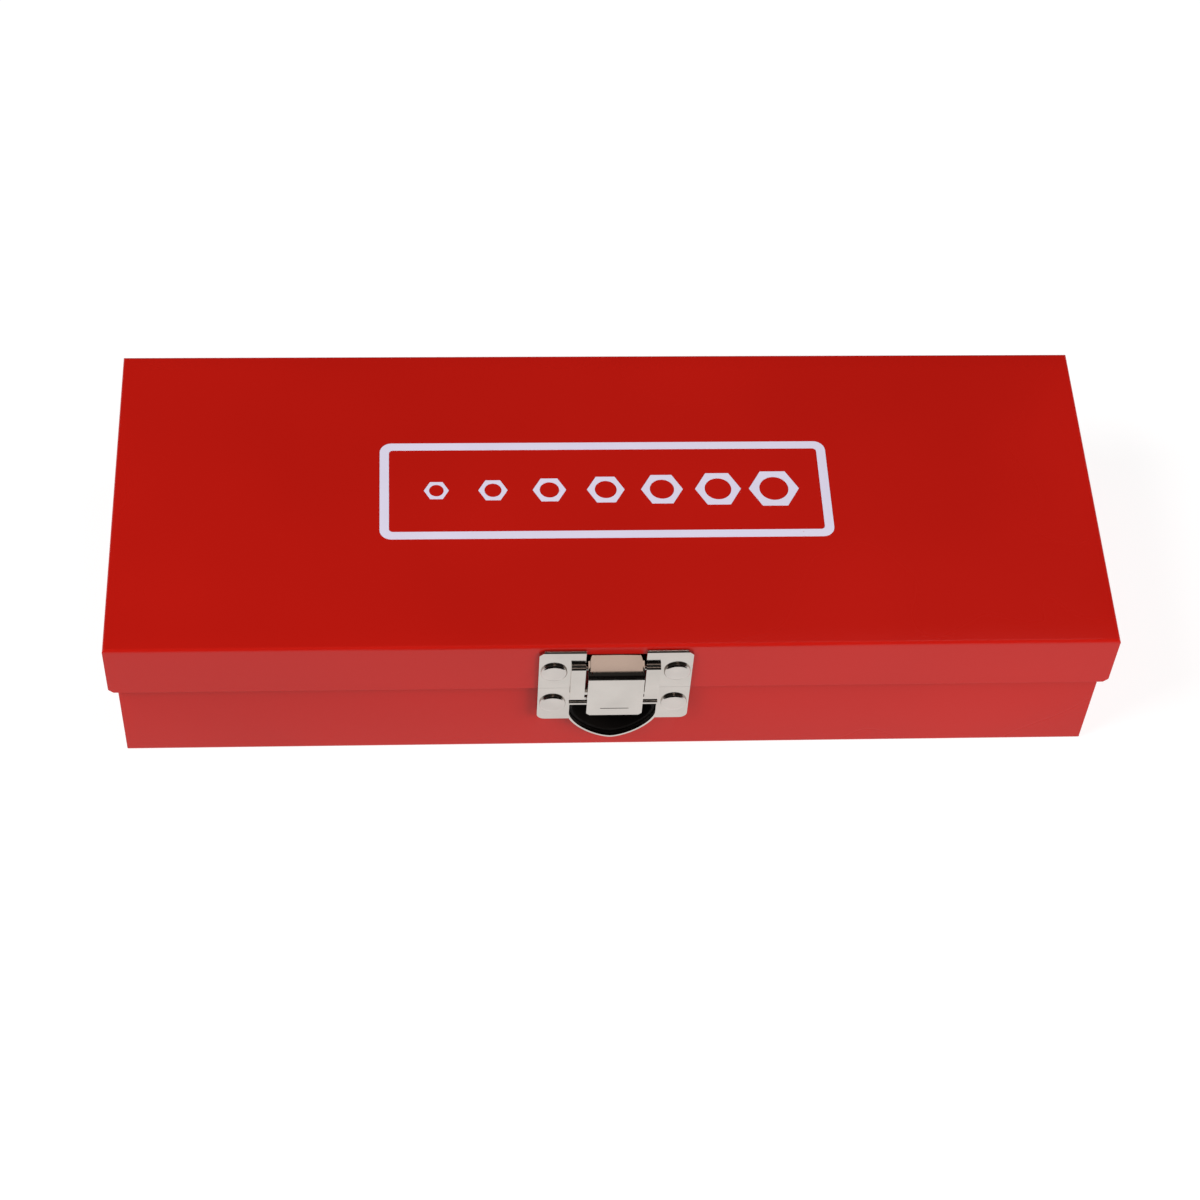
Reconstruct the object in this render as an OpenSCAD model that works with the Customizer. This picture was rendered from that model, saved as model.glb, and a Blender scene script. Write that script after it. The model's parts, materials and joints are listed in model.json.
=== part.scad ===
// Socket wrench set in a folded sheet-metal case, closed.
// Origin: centre of the underside of the case. +X runs along the case, +Y to the hinges, +Z up.

/* [Case] */
// Outside length of the lid
case_l = 254; // [252:1:320]
// Outside width of the lid
case_w = 96; // [95:1:130]
// Height of the closed case
case_h = 46; // [45:0.5:60]
// Thickness of the painted sheet
sheet = 0.8; // [0.6:0.1:1]
// Depth of the lid's folded edge
lid_flange = 18; // [17:0.5:19]
// How far the lid overhangs the body at each end
end_step = 2.2; // [1.8:0.1:3]
// How far the lid overhangs the body at the front and back
front_step = 1.3; // [1.3:0.1:1.6]
// Outside radius of the folds
fold_r = 1.2; // [1:0.1:2]
// How far the body's upper rim is set in, to clear the swinging lid
rim_inset = 1.2; // [1.2:0.1:1.6]

/* [Lid graphic] */
// Length of the printed border
graphic_l = 116.8; // [80:0.2:120]
// Width of the printed border
graphic_w = 31.6; // [24:0.2:40]
// Width of the border line
graphic_line = 2.4; // [1:0.1:3]

/* [Latch] */
// Width of the two latch plates
plate_w = 38.6; // [36:0.2:44]
// Thickness of the latch plates
plate_t = 0.8; // [0.6:0.1:0.8]
// Height that the middle of the lid plate stands out
plate_raise = 2.4; // [2.4:0.1:2.8]
// Width of the latch lever
lever_w = 14.1; // [12:0.1:14.5]
// How far the lever's face stands out from the lid
lever_out = 4.8; // [4.6:0.1:5.2]
// Half width of the finger hole
hole_a = 11.1; // [10:0.1:12]
// Depth of the finger hole's curved lower part
hole_b = 10.6; // [9:0.1:10.8]
// Diameter of the rivet heads
rivet_d = 6.7; // [5.5:0.1:7]

/* [Hinges] */
// Distance from the middle of the case to the middle of each hinge
hinge_x = 78; // [60:1:90]
// Width of each hinge
hinge_w = 32; // [26:1:40]
// Radius of the hinge pins
hinge_pin_r = 1; // [0.8:0.1:1.1]

/* [Tools] */
// Height of the sockets
socket_h = 28; // [26:1:34]
// Across flats of the square drive
drive_sq = 9.53; // [9.3:0.01:9.6]
// Length of the ratchet beyond its drive axis
ratchet_reach = 154; // [150:1:158]
// Length of the spark plug socket
spark_l = 62; // [58:1:64]
// Length of the short extension
short_ext = 75; // [70:1:80]
// Length of the long extension
long_ext = 150; // [140:1:155]
// Space between the socket tops and the lid
tool_gap = 7; // [6:0.5:9]
// Gap between each tool and its pocket
pocket_gap = 0.4; // [0.3:0.1:0.6]
// Wall thickness of the moulded tray
tray_t = 1.6; // [1.2:0.1:1.8]

/* [Hidden] */

$fn = 64;
eps = 0.01;
over = 1; // how far a cut runs past the face it opens
red = "#b01810";
nickel = "#c8c3bd";
chrome = "#d5d7d9";
black = "#1c1a18";

// Case: the lid fits over the body
body_l = case_l - 2 * end_step;
body_w = case_w - 2 * front_step;
seam_z = case_h - lid_flange;
body_top = case_h - sheet - 0.5;
rim_z = seam_z + 6.5;
rim_slope = 2;
flange_clip = 1.2;

// Front latch, in a frame at the lid's front top edge: p outwards, z down from the lid's top
front_y = -case_w / 2;
plate_top = -1.6;
plate_seam = -(lid_flange - 1.1);
plate_foot = plate_seam - 13.8;
body_face = -front_step;
bridge_half = 11.2;
bridge_side = 0.8;
bridge_top = -5.7;
ledge_tilt = 22; // the bridge's upper step, measured from level
ledge_bend = 0.7;
bridge_foot = plate_seam - 3.3;
slot_half = lever_w / 2 + 0.55;
slot_foot = -18.9;
hollow_top = -9.7; // the hollow under the bridge, below the pin's bearings
latch_pin_p = 0.8;
latch_pin_z = -8;
latch_pin_r = 0.75;
running = 0.05; // radial clearance of the small pins
bend_r = 2.6;
bend_z = -8.5;
tongue_slope = 28;
tongue_back = -0.62;
lever_t = 0.9;
lever_foot = -23.4;
nose_z = -20.5;
nose_half = 3.4;
nose_tip = -0.7;
rivet_x = 15.5;
lid_rivet_z = -9.7;
body_rivet_z = plate_seam - 6.5;
shank_r = 1.6;
hole_top = plate_seam - 6.8;
hole_chord = plate_seam - 11.4;
hole_power = 1.6; // between an ellipse (2) and a diamond (1)
hole_rim = 0.6;
lip_out = 0.55;
lip_l = 0.9;
cup_wall = 0.8;
cup_depth = 6.8;
cup_gap = 0.1;
cup_flange = 2;
window_top = -3.4;
window_foot = -10.6;

// Rear hinges
hinge_t = 1;
knuckle_r = 2;
pin_y = case_w / 2 + 2.2;
pin_z = seam_z;
lid_leaf_h = 15;
body_leaf_foot = pin_z - 17;
knuckle_gap = 0.15;

// Tools: heights hang from the lid, so the tools keep their clearance under it
lid_under = case_h - sheet;
socket_top = lid_under - tool_gap;
socket_floor = socket_top - socket_h;
deck_z = socket_top - 14.2;
tray_foot = sheet;
tray_l = body_l - 2 * (rim_inset + sheet + 0.5);
tray_w = body_w - 2 * (rim_inset + sheet + 0.5);
tray_r = 3;
deck_t = 2;

socket_sizes = [10, 11, 12, 13, 14, 15, 16, 17, 18, 19];
socket_ods = [17, 17, 17, 18.3, 19.8, 21, 22.2, 23.9, 25, 26];
socket_count = len(socket_sizes);
drive_end_d = 19;
function sum_to(list, n) = n <= 0 ? 0 : list[n - 1] + sum_to(list, n - 1);
socket_space = (tray_l - 2 * tray_t - sum_to(socket_ods, socket_count)) / (socket_count + 1);
function socket_x(i) =
  -tray_l / 2 + tray_t + socket_space * (i + 1) + sum_to(socket_ods, i) + socket_ods[i] / 2;
socket_y = -tray_w / 2 + 18.7;
hex_play = 0.15;
drive_play = 0.22;
socket_hole = drive_sq + drive_play;

bar_z = deck_z;
rest_z = bar_z - pocket_gap + 0.02;
bar_y = tray_w / 2 - 12.2;
bar_inset = 2.5;
ext_end_d = 17;
ext_shaft_d = 10.2;
ext_end_l = 20;
stub_l = 10.5;
spark_d = 22;
spark_y = bar_y - 26;
spark_x = tray_l / 2 - bar_inset - spark_l;

ratchet_z = deck_z - 8;
ratchet_y = bar_y - 29.5;
head_r = 16;
ratchet_x = -tray_l / 2 + bar_inset + head_r;
head_h = 13;
cover_t = 2;
handle_z = head_h / 2;
grip_r = 6.4;
gear_teeth = 36;
gear_tip = 10.4;
gear_root = 9.75;
gear_low = 2.8;
gear_high = 10.8;
pawl_x = 14.4;
pawl_tilt = 4.7;
selector_x = 22;
selector_turn = 30;
plunger_reach = 4.3;
plunger_r = 0.6;
stem_r = 1.95;
button_r = 3.4;
ball_r = 1.6;
ball_out = 0.55;
ball_hole_r = ball_r + 0.05;
ball_drop = 6;

// ---------- shared shapes ----------

function arc(cx, cy, r, from, to, steps = 6) =
  [for (i = [0:steps]) let (a = from + (to - from) * i / steps) [cx + r * cos(a), cy + r * sin(a)]];

// Rectangle with rounded corners, centred
function round_rect(w, h, r, steps = 6) = concat(
  arc(w / 2 - r, h / 2 - r, r, 0, 90, steps), arc(-w / 2 + r, h / 2 - r, r, 90, 180, steps),
  arc(-w / 2 + r, -h / 2 + r, r, 180, 270, steps), arc(w / 2 - r, -h / 2 + r, r, 270, 360, steps));

// Section of the lid: flat top with two rounded folds
function lid_section(w, h, r) = concat(
  [[-w / 2, 0], [w / 2, 0]], arc(w / 2 - r, h - r, r, 0, 90), arc(-w / 2 + r, h - r, r, 90, 180));

// Section of the body: rounded lower folds, and an upper rim set in by a short slope
function body_section(w, wall) =
  let (half = w / 2 - wall, r = max(fold_r - wall, 0.3), top = body_top + (wall > 0 ? over : 0))
  concat(
    arc(half - r, wall + r, r, -90, 0),
    [[half, rim_z], [half - rim_inset, rim_z + rim_slope], [half - rim_inset, top],
     [-half + rim_inset, top], [-half + rim_inset, rim_z + rim_slope], [-half, rim_z]],
    arc(-half + r, wall + r, r, 180, 270));

// A section drawn in Y and Z, swept along X
module sweep_x(length) { rotate([90, 0, 90]) linear_extrude(length, center = true) children(); }

// A section drawn in X and Z, swept along Y
module sweep_y(length) { rotate([90, 0, 0]) linear_extrude(length, center = true) children(); }

// Latch pieces: a section in p and z, swept from x0 to x1
module latch_along(x0, x1) {
  translate([0, front_y, case_h]) rotate([90, 0, -90]) translate([0, 0, -x1])
    linear_extrude(x1 - x0) children();
}

// Latch pieces: an outline seen from the front, from depth p0 to p1
module latch_slab(p0, p1) {
  translate([0, front_y, case_h]) rotate([90, 0, 0]) translate([0, 0, p0])
    linear_extrude(p1 - p0) children();
}

// A cylinder standing out of the front, at x and z of the latch frame
module latch_rod(x, z, p0, p1, r) {
  translate([x, front_y, case_h + z]) rotate([90, 0, 0]) translate([0, 0, p0])
    cylinder(r = r, h = p1 - p0);
}

// Outline of the finger hole, grown by e
function finger_outline(e) =
  let (a = hole_a + e, b = hole_b + e, n = 2 / hole_power, steps = 24)
  concat(
    [[-a, hole_top + e], [a, hole_top + e]],
    [for (i = [0:steps]) let (t = 180 * i / steps)
      [a * sign(cos(t)) * pow(abs(cos(t)), n), hole_chord - b * pow(sin(t), n)]]);

// Low domed rivet head with a chamfered edge, on +Z, with its shank below
module rivet(head_d, head_h, shank, shank_l) {
  cap_r = (head_d * head_d / 4 + head_h * head_h) / (2 * head_h);
  intersection() {
    translate([0, 0, head_h - cap_r]) sphere(r = cap_r);
    cylinder(d = head_d + 1, h = head_h + 1);
  }
  translate([0, 0, -shank_l]) cylinder(r = shank, h = shank_l + eps);
}

// Coil spring along +Z
module coil(r, wire, length, turns) {
  sides = 6;
  per_turn = 12;
  steps = turns * per_turn;
  rise = length / steps;
  function ring(i) = [for (k = [0:sides - 1])
    let (a = 360 * i / per_turn, b = 360 * k / sides, q = r + wire * cos(b))
    [q * cos(a), q * sin(a), i * rise + wire * sin(b)]];
  points = [for (i = [0:steps]) each ring(i)];
  sidewalls = [for (i = [0:steps - 1], k = [0:sides - 1])
    let (m = (k + 1) % sides)
    [i * sides + k, (i + 1) * sides + k, (i + 1) * sides + m, i * sides + m]];
  first = [for (k = [0:sides - 1]) k];
  last = [for (k = [sides - 1:-1:0]) steps * sides + k];
  polyhedron(points, concat(sidewalls, [first], [last]), convexity = 8);
}

// ---------- case ----------

module case_body() {
  color(red) difference() {
    intersection() {
      sweep_x(body_l + 2) polygon(body_section(body_w, 0));
      sweep_y(body_w + 2) polygon(body_section(body_l, 0));
    }
    intersection() {
      sweep_x(body_l + 2) polygon(body_section(body_w, sheet));
      sweep_y(body_w + 2) polygon(body_section(body_l, sheet));
    }
    // finger hole, room for the lever's tail, and rivet holes
    latch_slab(body_face - sheet - over, body_face + over) polygon(finger_outline(cup_gap));
    latch_slab(body_face - rim_inset - sheet - over, body_face + over)
      translate([-slot_half - 2, -13]) square([2 * slot_half + 4, 13]);
    for (side = [-1, 1])
      latch_rod(side * rivet_x, body_rivet_z, body_face - sheet - over, body_face + over, shank_r);
    hinge_holes(pin_z - 11, body_w / 2 - sheet - over, sheet + 2 * over);
  }
}

module case_lid() {
  color(red) difference() {
    translate([0, 0, seam_z]) intersection() {
      sweep_x(case_l + 2) polygon(lid_section(case_w, lid_flange, fold_r));
      sweep_y(case_w + 2) polygon(lid_section(case_l, lid_flange, fold_r));
    }
    translate([0, 0, seam_z - over]) intersection() {
      inner_h = lid_flange - sheet + over;
      sweep_x(case_l + 2) polygon(lid_section(case_w - 2 * sheet, inner_h, fold_r - sheet));
      sweep_y(case_w + 2) polygon(lid_section(case_l - 2 * sheet, inner_h, fold_r - sheet));
    }
    // clipped lower corners of the folded edge
    for (sx = [-1, 1], sy = [-1, 1])
      translate([sx * case_l / 2, sy * case_w / 2, seam_z])
        rotate([0, 180 - acos(1 / sqrt(3)), atan2(sy, sx)])
          translate([-3, -3, -flange_clip / sqrt(3)]) cube([6, 6, 4]);
    // window for the lever's tail, and rivet holes
    latch_slab(-sheet - over, over)
      translate([-slot_half, window_foot]) square([2 * slot_half, window_top - window_foot]);
    for (side = [-1, 1])
      latch_rod(side * rivet_x, lid_rivet_z, -sheet - over, over, shank_r);
    hinge_holes(pin_z + 9, case_w / 2 - sheet - over, sheet + 2 * over);
  }
}

// A plain border with a row of growing hexagon rings inside it
module lid_graphic() {
  rings = 7;
  film = 0.1;
  color("white") translate([-0.6, 1.7, case_h]) linear_extrude(film) {
    difference() {
      polygon(round_rect(graphic_l, graphic_w, 3));
      polygon(round_rect(graphic_l - 2 * graphic_line, graphic_w - 2 * graphic_line, 1));
    }
    for (i = [0:rings - 1]) {
      ring_d = 6.5 + 1.1 * i;
      translate([(i - (rings - 1) / 2) * 14.6, 0]) difference() {
        circle(d = ring_d, $fn = 6);
        circle(d = ring_d * 0.58);
      }
    }
  }
}

// ---------- front latch ----------

// The bridge's upper step: out from the plate's face through two bends
function ledge() =
  let (turn = 90 - ledge_tilt, b = ledge_bend, steps = 5,
       run = (plate_raise - plate_t - 2 * b * (1 - cos(turn))) / sin(turn),
       mid = [plate_t + b * (1 - cos(turn)) + run * sin(turn), bridge_top - b * sin(turn) - run * cos(turn)])
  concat(
    [for (i = [0:steps]) let (a = turn * i / steps)
      [plate_t + b * (1 - cos(a)), bridge_top - b * sin(a)]],
    [for (i = [steps:-1:0]) let (a = turn * i / steps)
      [mid[0] + b * (cos(a) - cos(turn)), mid[1] - b * (sin(turn) - sin(a))]]);

module latch_lid_plate() {
  color(nickel) difference() {
    union() {
      latch_slab(0, plate_t) polygon([
        [-plate_w / 2, plate_seam], [plate_w / 2, plate_seam], [plate_w / 2, plate_top - 1.4],
        [plate_w / 2 - 1.4, plate_top], [-plate_w / 2 + 1.4, plate_top],
        [-plate_w / 2, plate_top - 1.4]]);
      latch_along(-bridge_half, bridge_half) polygon(concat(
        [[0, bridge_top]], ledge(),
        [[plate_raise, bridge_foot], [plate_raise - plate_t, bridge_foot],
         [plate_raise - plate_t, plate_seam], [0, plate_seam]]));
    }
    // the lever's slot, and the hollow under the bridge
    latch_slab(-over, plate_raise + over)
      translate([-slot_half, slot_foot]) square([2 * slot_half, plate_top - slot_foot + over]);
    latch_along(-bridge_half + bridge_side, bridge_half - bridge_side)
      translate([-over, plate_seam - over])
        square([plate_raise - plate_t + over, hollow_top - plate_seam + over]);
    translate([0, front_y - latch_pin_p, case_h + latch_pin_z]) rotate([0, 90, 0])
      cylinder(r = latch_pin_r, h = 2 * (bridge_half - bridge_side), center = true);
    for (side = [-1, 1])
      latch_rod(side * rivet_x, lid_rivet_z, -over, plate_t + over, shank_r);
  }
}

// Shallow pan, flush with the lid plate, with a rim round the finger hole
module latch_body_plate() {
  seam_gap = 0.1;
  lap_gap = 0.3;
  corner = 2;
  half = plate_w / 2;
  function outline(inset) = concat(
    arc(-half + corner, plate_foot + corner, corner - inset, 180, 270),
    arc(half - corner, plate_foot + corner, corner - inset, 270, 360),
    [[half - inset, plate_seam - seam_gap + (inset > 0 ? over : 0)],
     [-half + inset, plate_seam - seam_gap + (inset > 0 ? over : 0)]]);
  color(nickel) difference() {
    union() {
      difference() {
        latch_slab(body_face, plate_t) polygon(outline(0));
        latch_slab(body_face - over, 0) polygon(outline(plate_t));
      }
      latch_slab(body_face, plate_t) polygon(finger_outline(hole_rim));
      // lip above the finger hole
      latch_along(-hole_a - 0.2, hole_a + 0.2)
        translate([0, hole_top]) square([plate_t + lip_out, lip_l]);
    }
    latch_slab(body_face - over, plate_t + lip_out + over) polygon(finger_outline(0));
    // the folded sides stop under the lid's edge, and only the front laps over it
    latch_slab(body_face - over, 0) translate([-plate_w, -lid_flange - lap_gap])
      square([2 * plate_w, lid_flange]);
    // notch that the lever's nose drops into
    latch_slab(body_face - over, plate_t + lip_out + over)
      translate([-nose_half - 0.6, nose_z - 2]) square([2 * nose_half + 1.2, 20]);
    for (side = [-1, 1])
      latch_rod(side * rivet_x, body_rivet_z, body_face - over, plate_t + over, shank_r);
  }
}

module latch_lever() {
  half = lever_w / 2;
  bend_p = lever_out - bend_r;
  face_in = lever_out - lever_t;
  start = 90 - tongue_slope;
  tongue_front = [bend_p + bend_r * cos(start), bend_z + bend_r * sin(start)];
  tongue_end_z = tongue_front[1] + (tongue_front[0] - tongue_back) * tan(tongue_slope);
  inner_r = bend_r - lever_t;
  shift = [lever_t * sin(tongue_slope), lever_t * cos(tongue_slope)];
  tongue_half = half - 0.5;
  color(nickel) difference() {
    intersection() {
      union() {
        // sheet: tongue, bend and face
        latch_along(-half, half) polygon(concat(
          [[lever_out, lever_foot]], arc(bend_p, bend_z, bend_r, 0, start, 8),
          [[tongue_back, tongue_end_z],
           [tongue_back - shift[0], tongue_end_z - shift[1]]],
          arc(bend_p, bend_z, inner_r, start, 0, 8), [[face_in, lever_foot]]));
        // ears on the pin, carried down as side flanges
        for (side = [0, 1]) mirror([side, 0, 0]) latch_along(half - lever_t, half) {
          polygon([[latch_pin_p - 1.2, latch_pin_z + 1.2], [0.6, -5.5], [bend_p + 1, -6.8],
                   [face_in + eps, bend_z], [face_in + eps, lever_foot + 1.2],
                   [face_in - 1, lever_foot + 2.2], [face_in - 1, hollow_top - 1.1],
                   [latch_pin_p, latch_pin_z - 1.6]]);
          translate([latch_pin_p, latch_pin_z]) circle(r = 1.6);
        }
        // nose that snaps behind the body plate
        latch_along(-nose_half, nose_half)
          translate([nose_tip, nose_z - lever_t]) square([face_in - nose_tip + eps, lever_t]);
      }
      // outline from the front: rounded tail, clipped lower corners
      latch_slab(-4, lever_out + over) polygon(concat(
        [[-half + 0.8, lever_foot], [half - 0.8, lever_foot], [half, lever_foot + 0.8],
         [half, bend_z + 2], [tongue_half, bend_z + 2.2]],
        arc(tongue_half - 1.1, tongue_end_z - 1.1, 1.1, 0, 90),
        arc(-tongue_half + 1.1, tongue_end_z - 1.1, 1.1, 90, 180),
        [[-tongue_half, bend_z + 2.2], [-half, bend_z + 2], [-half, lever_foot + 0.8]]));
    }
    translate([0, front_y - latch_pin_p, case_h + latch_pin_z]) rotate([0, 90, 0])
      cylinder(r = latch_pin_r + running, h = lever_w + 2, center = true);
    // slit left above the nose
    latch_slab(lever_out - 0.35, lever_out + over)
      translate([-3.6, nose_z - 0.05]) square([7.2, 0.3]);
  }
}

module latch_pin() {
  pin_l = 2 * (bridge_half - bridge_side) - 0.2;
  color(chrome) translate([0, front_y - latch_pin_p, case_h + latch_pin_z]) rotate([0, 90, 0])
    cylinder(r = latch_pin_r, h = pin_l, center = true);
}

module latch_spring() {
  wire = 0.2;
  length = lever_w - 2 * lever_t - 1.2;
  color("dimgray") translate([-length / 2, front_y - latch_pin_p, case_h + latch_pin_z])
    rotate([0, 90, 0]) coil(1.2, wire, length, 10);
}

// Spring leaf behind the body plate, with a bead over the lever's nose
module catch_spring() {
  leaf_t = 0.3;
  bead_r = 0.5;
  color("dimgray") union() {
    latch_slab(body_face, body_face + leaf_t)
      translate([-nose_half, hole_top + 1]) square([2 * nose_half, plate_seam - hole_top - 1.8]);
    latch_along(-nose_half + 0.2, nose_half - 0.2)
      translate([body_face + 0.55, nose_z + 0.9]) circle(r = bead_r);
  }
}

module finger_cup() {
  back = body_face - sheet - 0.8;
  color(black) difference() {
    union() {
      latch_slab(body_face - cup_depth, body_face + 0.7) polygon(finger_outline(-cup_gap));
      latch_slab(back, body_face - sheet) polygon(finger_outline(cup_flange));
    }
    latch_slab(body_face - cup_depth + cup_wall, lever_out)
      polygon(finger_outline(-cup_gap - cup_wall));
  }
}

module latch_lid_rivets() {
  color(chrome) for (side = [-1, 1])
    translate([side * rivet_x, front_y - plate_t, case_h + lid_rivet_z]) rotate([90, 0, 0])
      rivet(rivet_d, 1, shank_r, plate_t + sheet);
}

module latch_body_rivets() {
  color(chrome) for (side = [-1, 1])
    translate([side * rivet_x, front_y - plate_t, case_h + body_rivet_z]) rotate([90, 0, 0])
      rivet(rivet_d, 1, shank_r, plate_t + front_step + sheet);
}

// ---------- rear hinges ----------

// The two rivet places of each hinge, at height z
module at_hinge_rivets(z, y) {
  for (side = [-1, 1], k = [-1, 1])
    translate([side * hinge_x + k * hinge_w / 3.2, y, z]) rotate([-90, 0, 0]) children();
}

module hinge_holes(z, y, length) { at_hinge_rivets(z, y) cylinder(r = shank_r, h = length); }

module pin_line(x, length, r) {
  translate([x, pin_y, pin_z]) rotate([0, 90, 0]) cylinder(r = r, h = length, center = true);
}

// Leaf on the lid, with the middle knuckle
module hinge_lid_leaf(x) {
  middle = hinge_w / 3 - 2 * knuckle_gap;
  face = case_w / 2;
  color(chrome) difference() {
    union() {
      translate([x - hinge_w / 2, face, pin_z + knuckle_r + 0.4])
        cube([hinge_w, hinge_t, lid_leaf_h - knuckle_r - 0.4]);
      translate([x - middle / 2, face, pin_z]) cube([middle, hinge_t, knuckle_r + 1]);
      pin_line(x, middle, knuckle_r);
    }
    pin_line(x, hinge_w, hinge_pin_r + running);
    hinge_holes(pin_z + 9, face - over, hinge_t + 2 * over);
  }
}

// Leaf on the body: it steps out under the lid's edge to the two outer knuckles
module hinge_body_leaf(x) {
  middle = hinge_w / 3;
  face = body_w / 2;
  out = pin_y - face;
  color(chrome) difference() {
    union() {
      translate([x, face, 0]) sweep_x(hinge_w) polygon([
        [0, body_leaf_foot], [hinge_t, body_leaf_foot], [hinge_t, pin_z - 5.4],
        [out + 0.9, pin_z - 1.7], [out - 0.2, pin_z - 0.4], [0, pin_z - 4]]);
      for (side = [-1, 1]) pin_line(x + side * hinge_w / 3, hinge_w / 3, knuckle_r);
    }
    pin_line(x, hinge_w + over, hinge_pin_r);
    pin_line(x, middle, knuckle_r + 0.25);
    hinge_holes(pin_z - 11, face - over, hinge_t + 2 * over);
  }
}

module hinge_pin(x) {
  head_h = 0.6;
  color(chrome) union() {
    pin_line(x, hinge_w, hinge_pin_r);
    for (side = [-1, 1]) pin_line(x + side * (hinge_w + head_h) / 2, head_h, hinge_pin_r + 0.5);
  }
}

module hinge_lid_rivets() {
  color(chrome) at_hinge_rivets(pin_z + 9, case_w / 2 + hinge_t)
    rivet(5, 0.8, shank_r, hinge_t + sheet);
}

module hinge_body_rivets() {
  color(chrome) at_hinge_rivets(pin_z - 11, body_w / 2 + hinge_t)
    rivet(5, 0.8, shank_r, hinge_t + sheet);
}

// ---------- tray ----------

// Upright round pocket
module round_pocket(x, y, d, grow, deep) {
  translate([x, y, socket_floor - deep])
    cylinder(d = d + 2 * pocket_gap + 2 * grow, h = deck_z - socket_floor + deep + (deep > 0 ? 0 : over));
}

// Trough for a bar lying along X at the deck's height
module bar_pocket(x, y, length, d, grow) {
  r = d / 2 + pocket_gap + grow;
  span = length + 2 * pocket_gap + 2 * grow;
  translate([x + length / 2, y, bar_z]) intersection() {
    rotate([0, 90, 0]) cylinder(r = r, h = span, center = true);
    translate([0, 0, grow > 0 ? -r : -r + over]) cube([span + 2, 2 * r + 2, 2 * r], center = true);
  }
}

// The ratchet's outline from above, grown by e
module ratchet_outline(e) {
  union() {
    circle(r = head_r + e);
    polygon([[4, -14.6 - e], [34, -7 - e], [34, 7 + e], [4, 14.6 + e]]);
    translate([30, -grip_r - e]) square([ratchet_reach - 30 + e, 2 * (grip_r + e)]);
  }
}

module ratchet_pocket(grow, deep) {
  e = pocket_gap + grow;
  lift = deep > 0 ? 0 : over;
  translate([ratchet_x, ratchet_y, ratchet_z - deep]) {
    linear_extrude(deck_z - ratchet_z + deep + lift) ratchet_outline(e);
    translate([0, 0, -stub_l - 1]) cylinder(r = 7.2 + grow, h = stub_l + 2);
  }
}

module pockets(grow, deep) {
  for (i = [0:socket_count - 1]) round_pocket(socket_x(i), socket_y, socket_ods[i], grow, deep);
  bar_pocket(-tray_l / 2 + bar_inset, bar_y, long_ext, ext_end_d, grow);
  bar_pocket(tray_l / 2 - bar_inset - short_ext, bar_y, short_ext, ext_end_d, grow);
  bar_pocket(spark_x, spark_y, spark_l, spark_d, grow);
  ratchet_pocket(grow, deep);
}

// Room for fingers beside the two extensions and the spark plug socket
module finger_wells(grow) {
  well = 18;
  deep = 9;
  // x, y and width of each well
  places = [[-tray_l / 2 + bar_inset + long_ext / 2, bar_y - 7, 22],
            [tray_l / 2 - bar_inset - short_ext / 2, bar_y - 12, 14]];
  for (place = places)
    translate([place[0] - well / 2 - grow, place[1] - place[2] / 2 - grow, deck_z - deep - grow])
      cube([well + 2 * grow, place[2] + 2 * grow, deep + grow + (grow > 0 ? 0 : over)]);
}

module tray() {
  notch_w = 2 * (hole_a + cup_flange) + 1.4;
  notch_y = front_y - body_face + cup_depth + 0.6;
  inner_l = tray_l - 2 * tray_t;
  inner_w = tray_w - 2 * tray_t;
  color(black) difference() {
    union() {
      difference() {
        translate([0, 0, tray_foot]) linear_extrude(deck_z - tray_foot)
          polygon(round_rect(tray_l, tray_w, tray_r));
        translate([0, 0, tray_foot - over]) linear_extrude(deck_z - deck_t - tray_foot + over)
          polygon(round_rect(inner_l, inner_w, tray_r - tray_t));
      }
      intersection() {
        union() {
          pockets(tray_t, tray_t);
          finger_wells(tray_t);
          translate([-notch_w / 2 - tray_t, -tray_w / 2, tray_foot])
            cube([notch_w + 2 * tray_t, notch_y + tray_w / 2 + tray_t, deck_z - tray_foot]);
        }
        translate([0, 0, tray_foot]) linear_extrude(deck_z - tray_foot)
          polygon(round_rect(tray_l, tray_w, tray_r));
      }
    }
    pockets(0, 0);
    finger_wells(0);
    translate([-notch_w / 2, -tray_w / 2 - over, tray_foot - over])
      cube([notch_w, notch_y + tray_w / 2 + over, deck_z - tray_foot + 2 * over]);
  }
}

// ---------- sockets and extensions ----------

// Square hole from z = 0 upwards, with a ring groove that catches the ball
module drive_hole(depth) {
  translate([-socket_hole / 2, -socket_hole / 2, -over])
    cube([socket_hole, socket_hole, depth + over]);
  translate([0, 0, stub_l - ball_drop + 1.2]) cylinder(d = socket_hole + 1.9, h = 2.6);
  translate([0, 0, -eps]) cylinder(r1 = socket_hole * 0.66, r2 = socket_hole * 0.5, h = 1.4);
}

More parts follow.
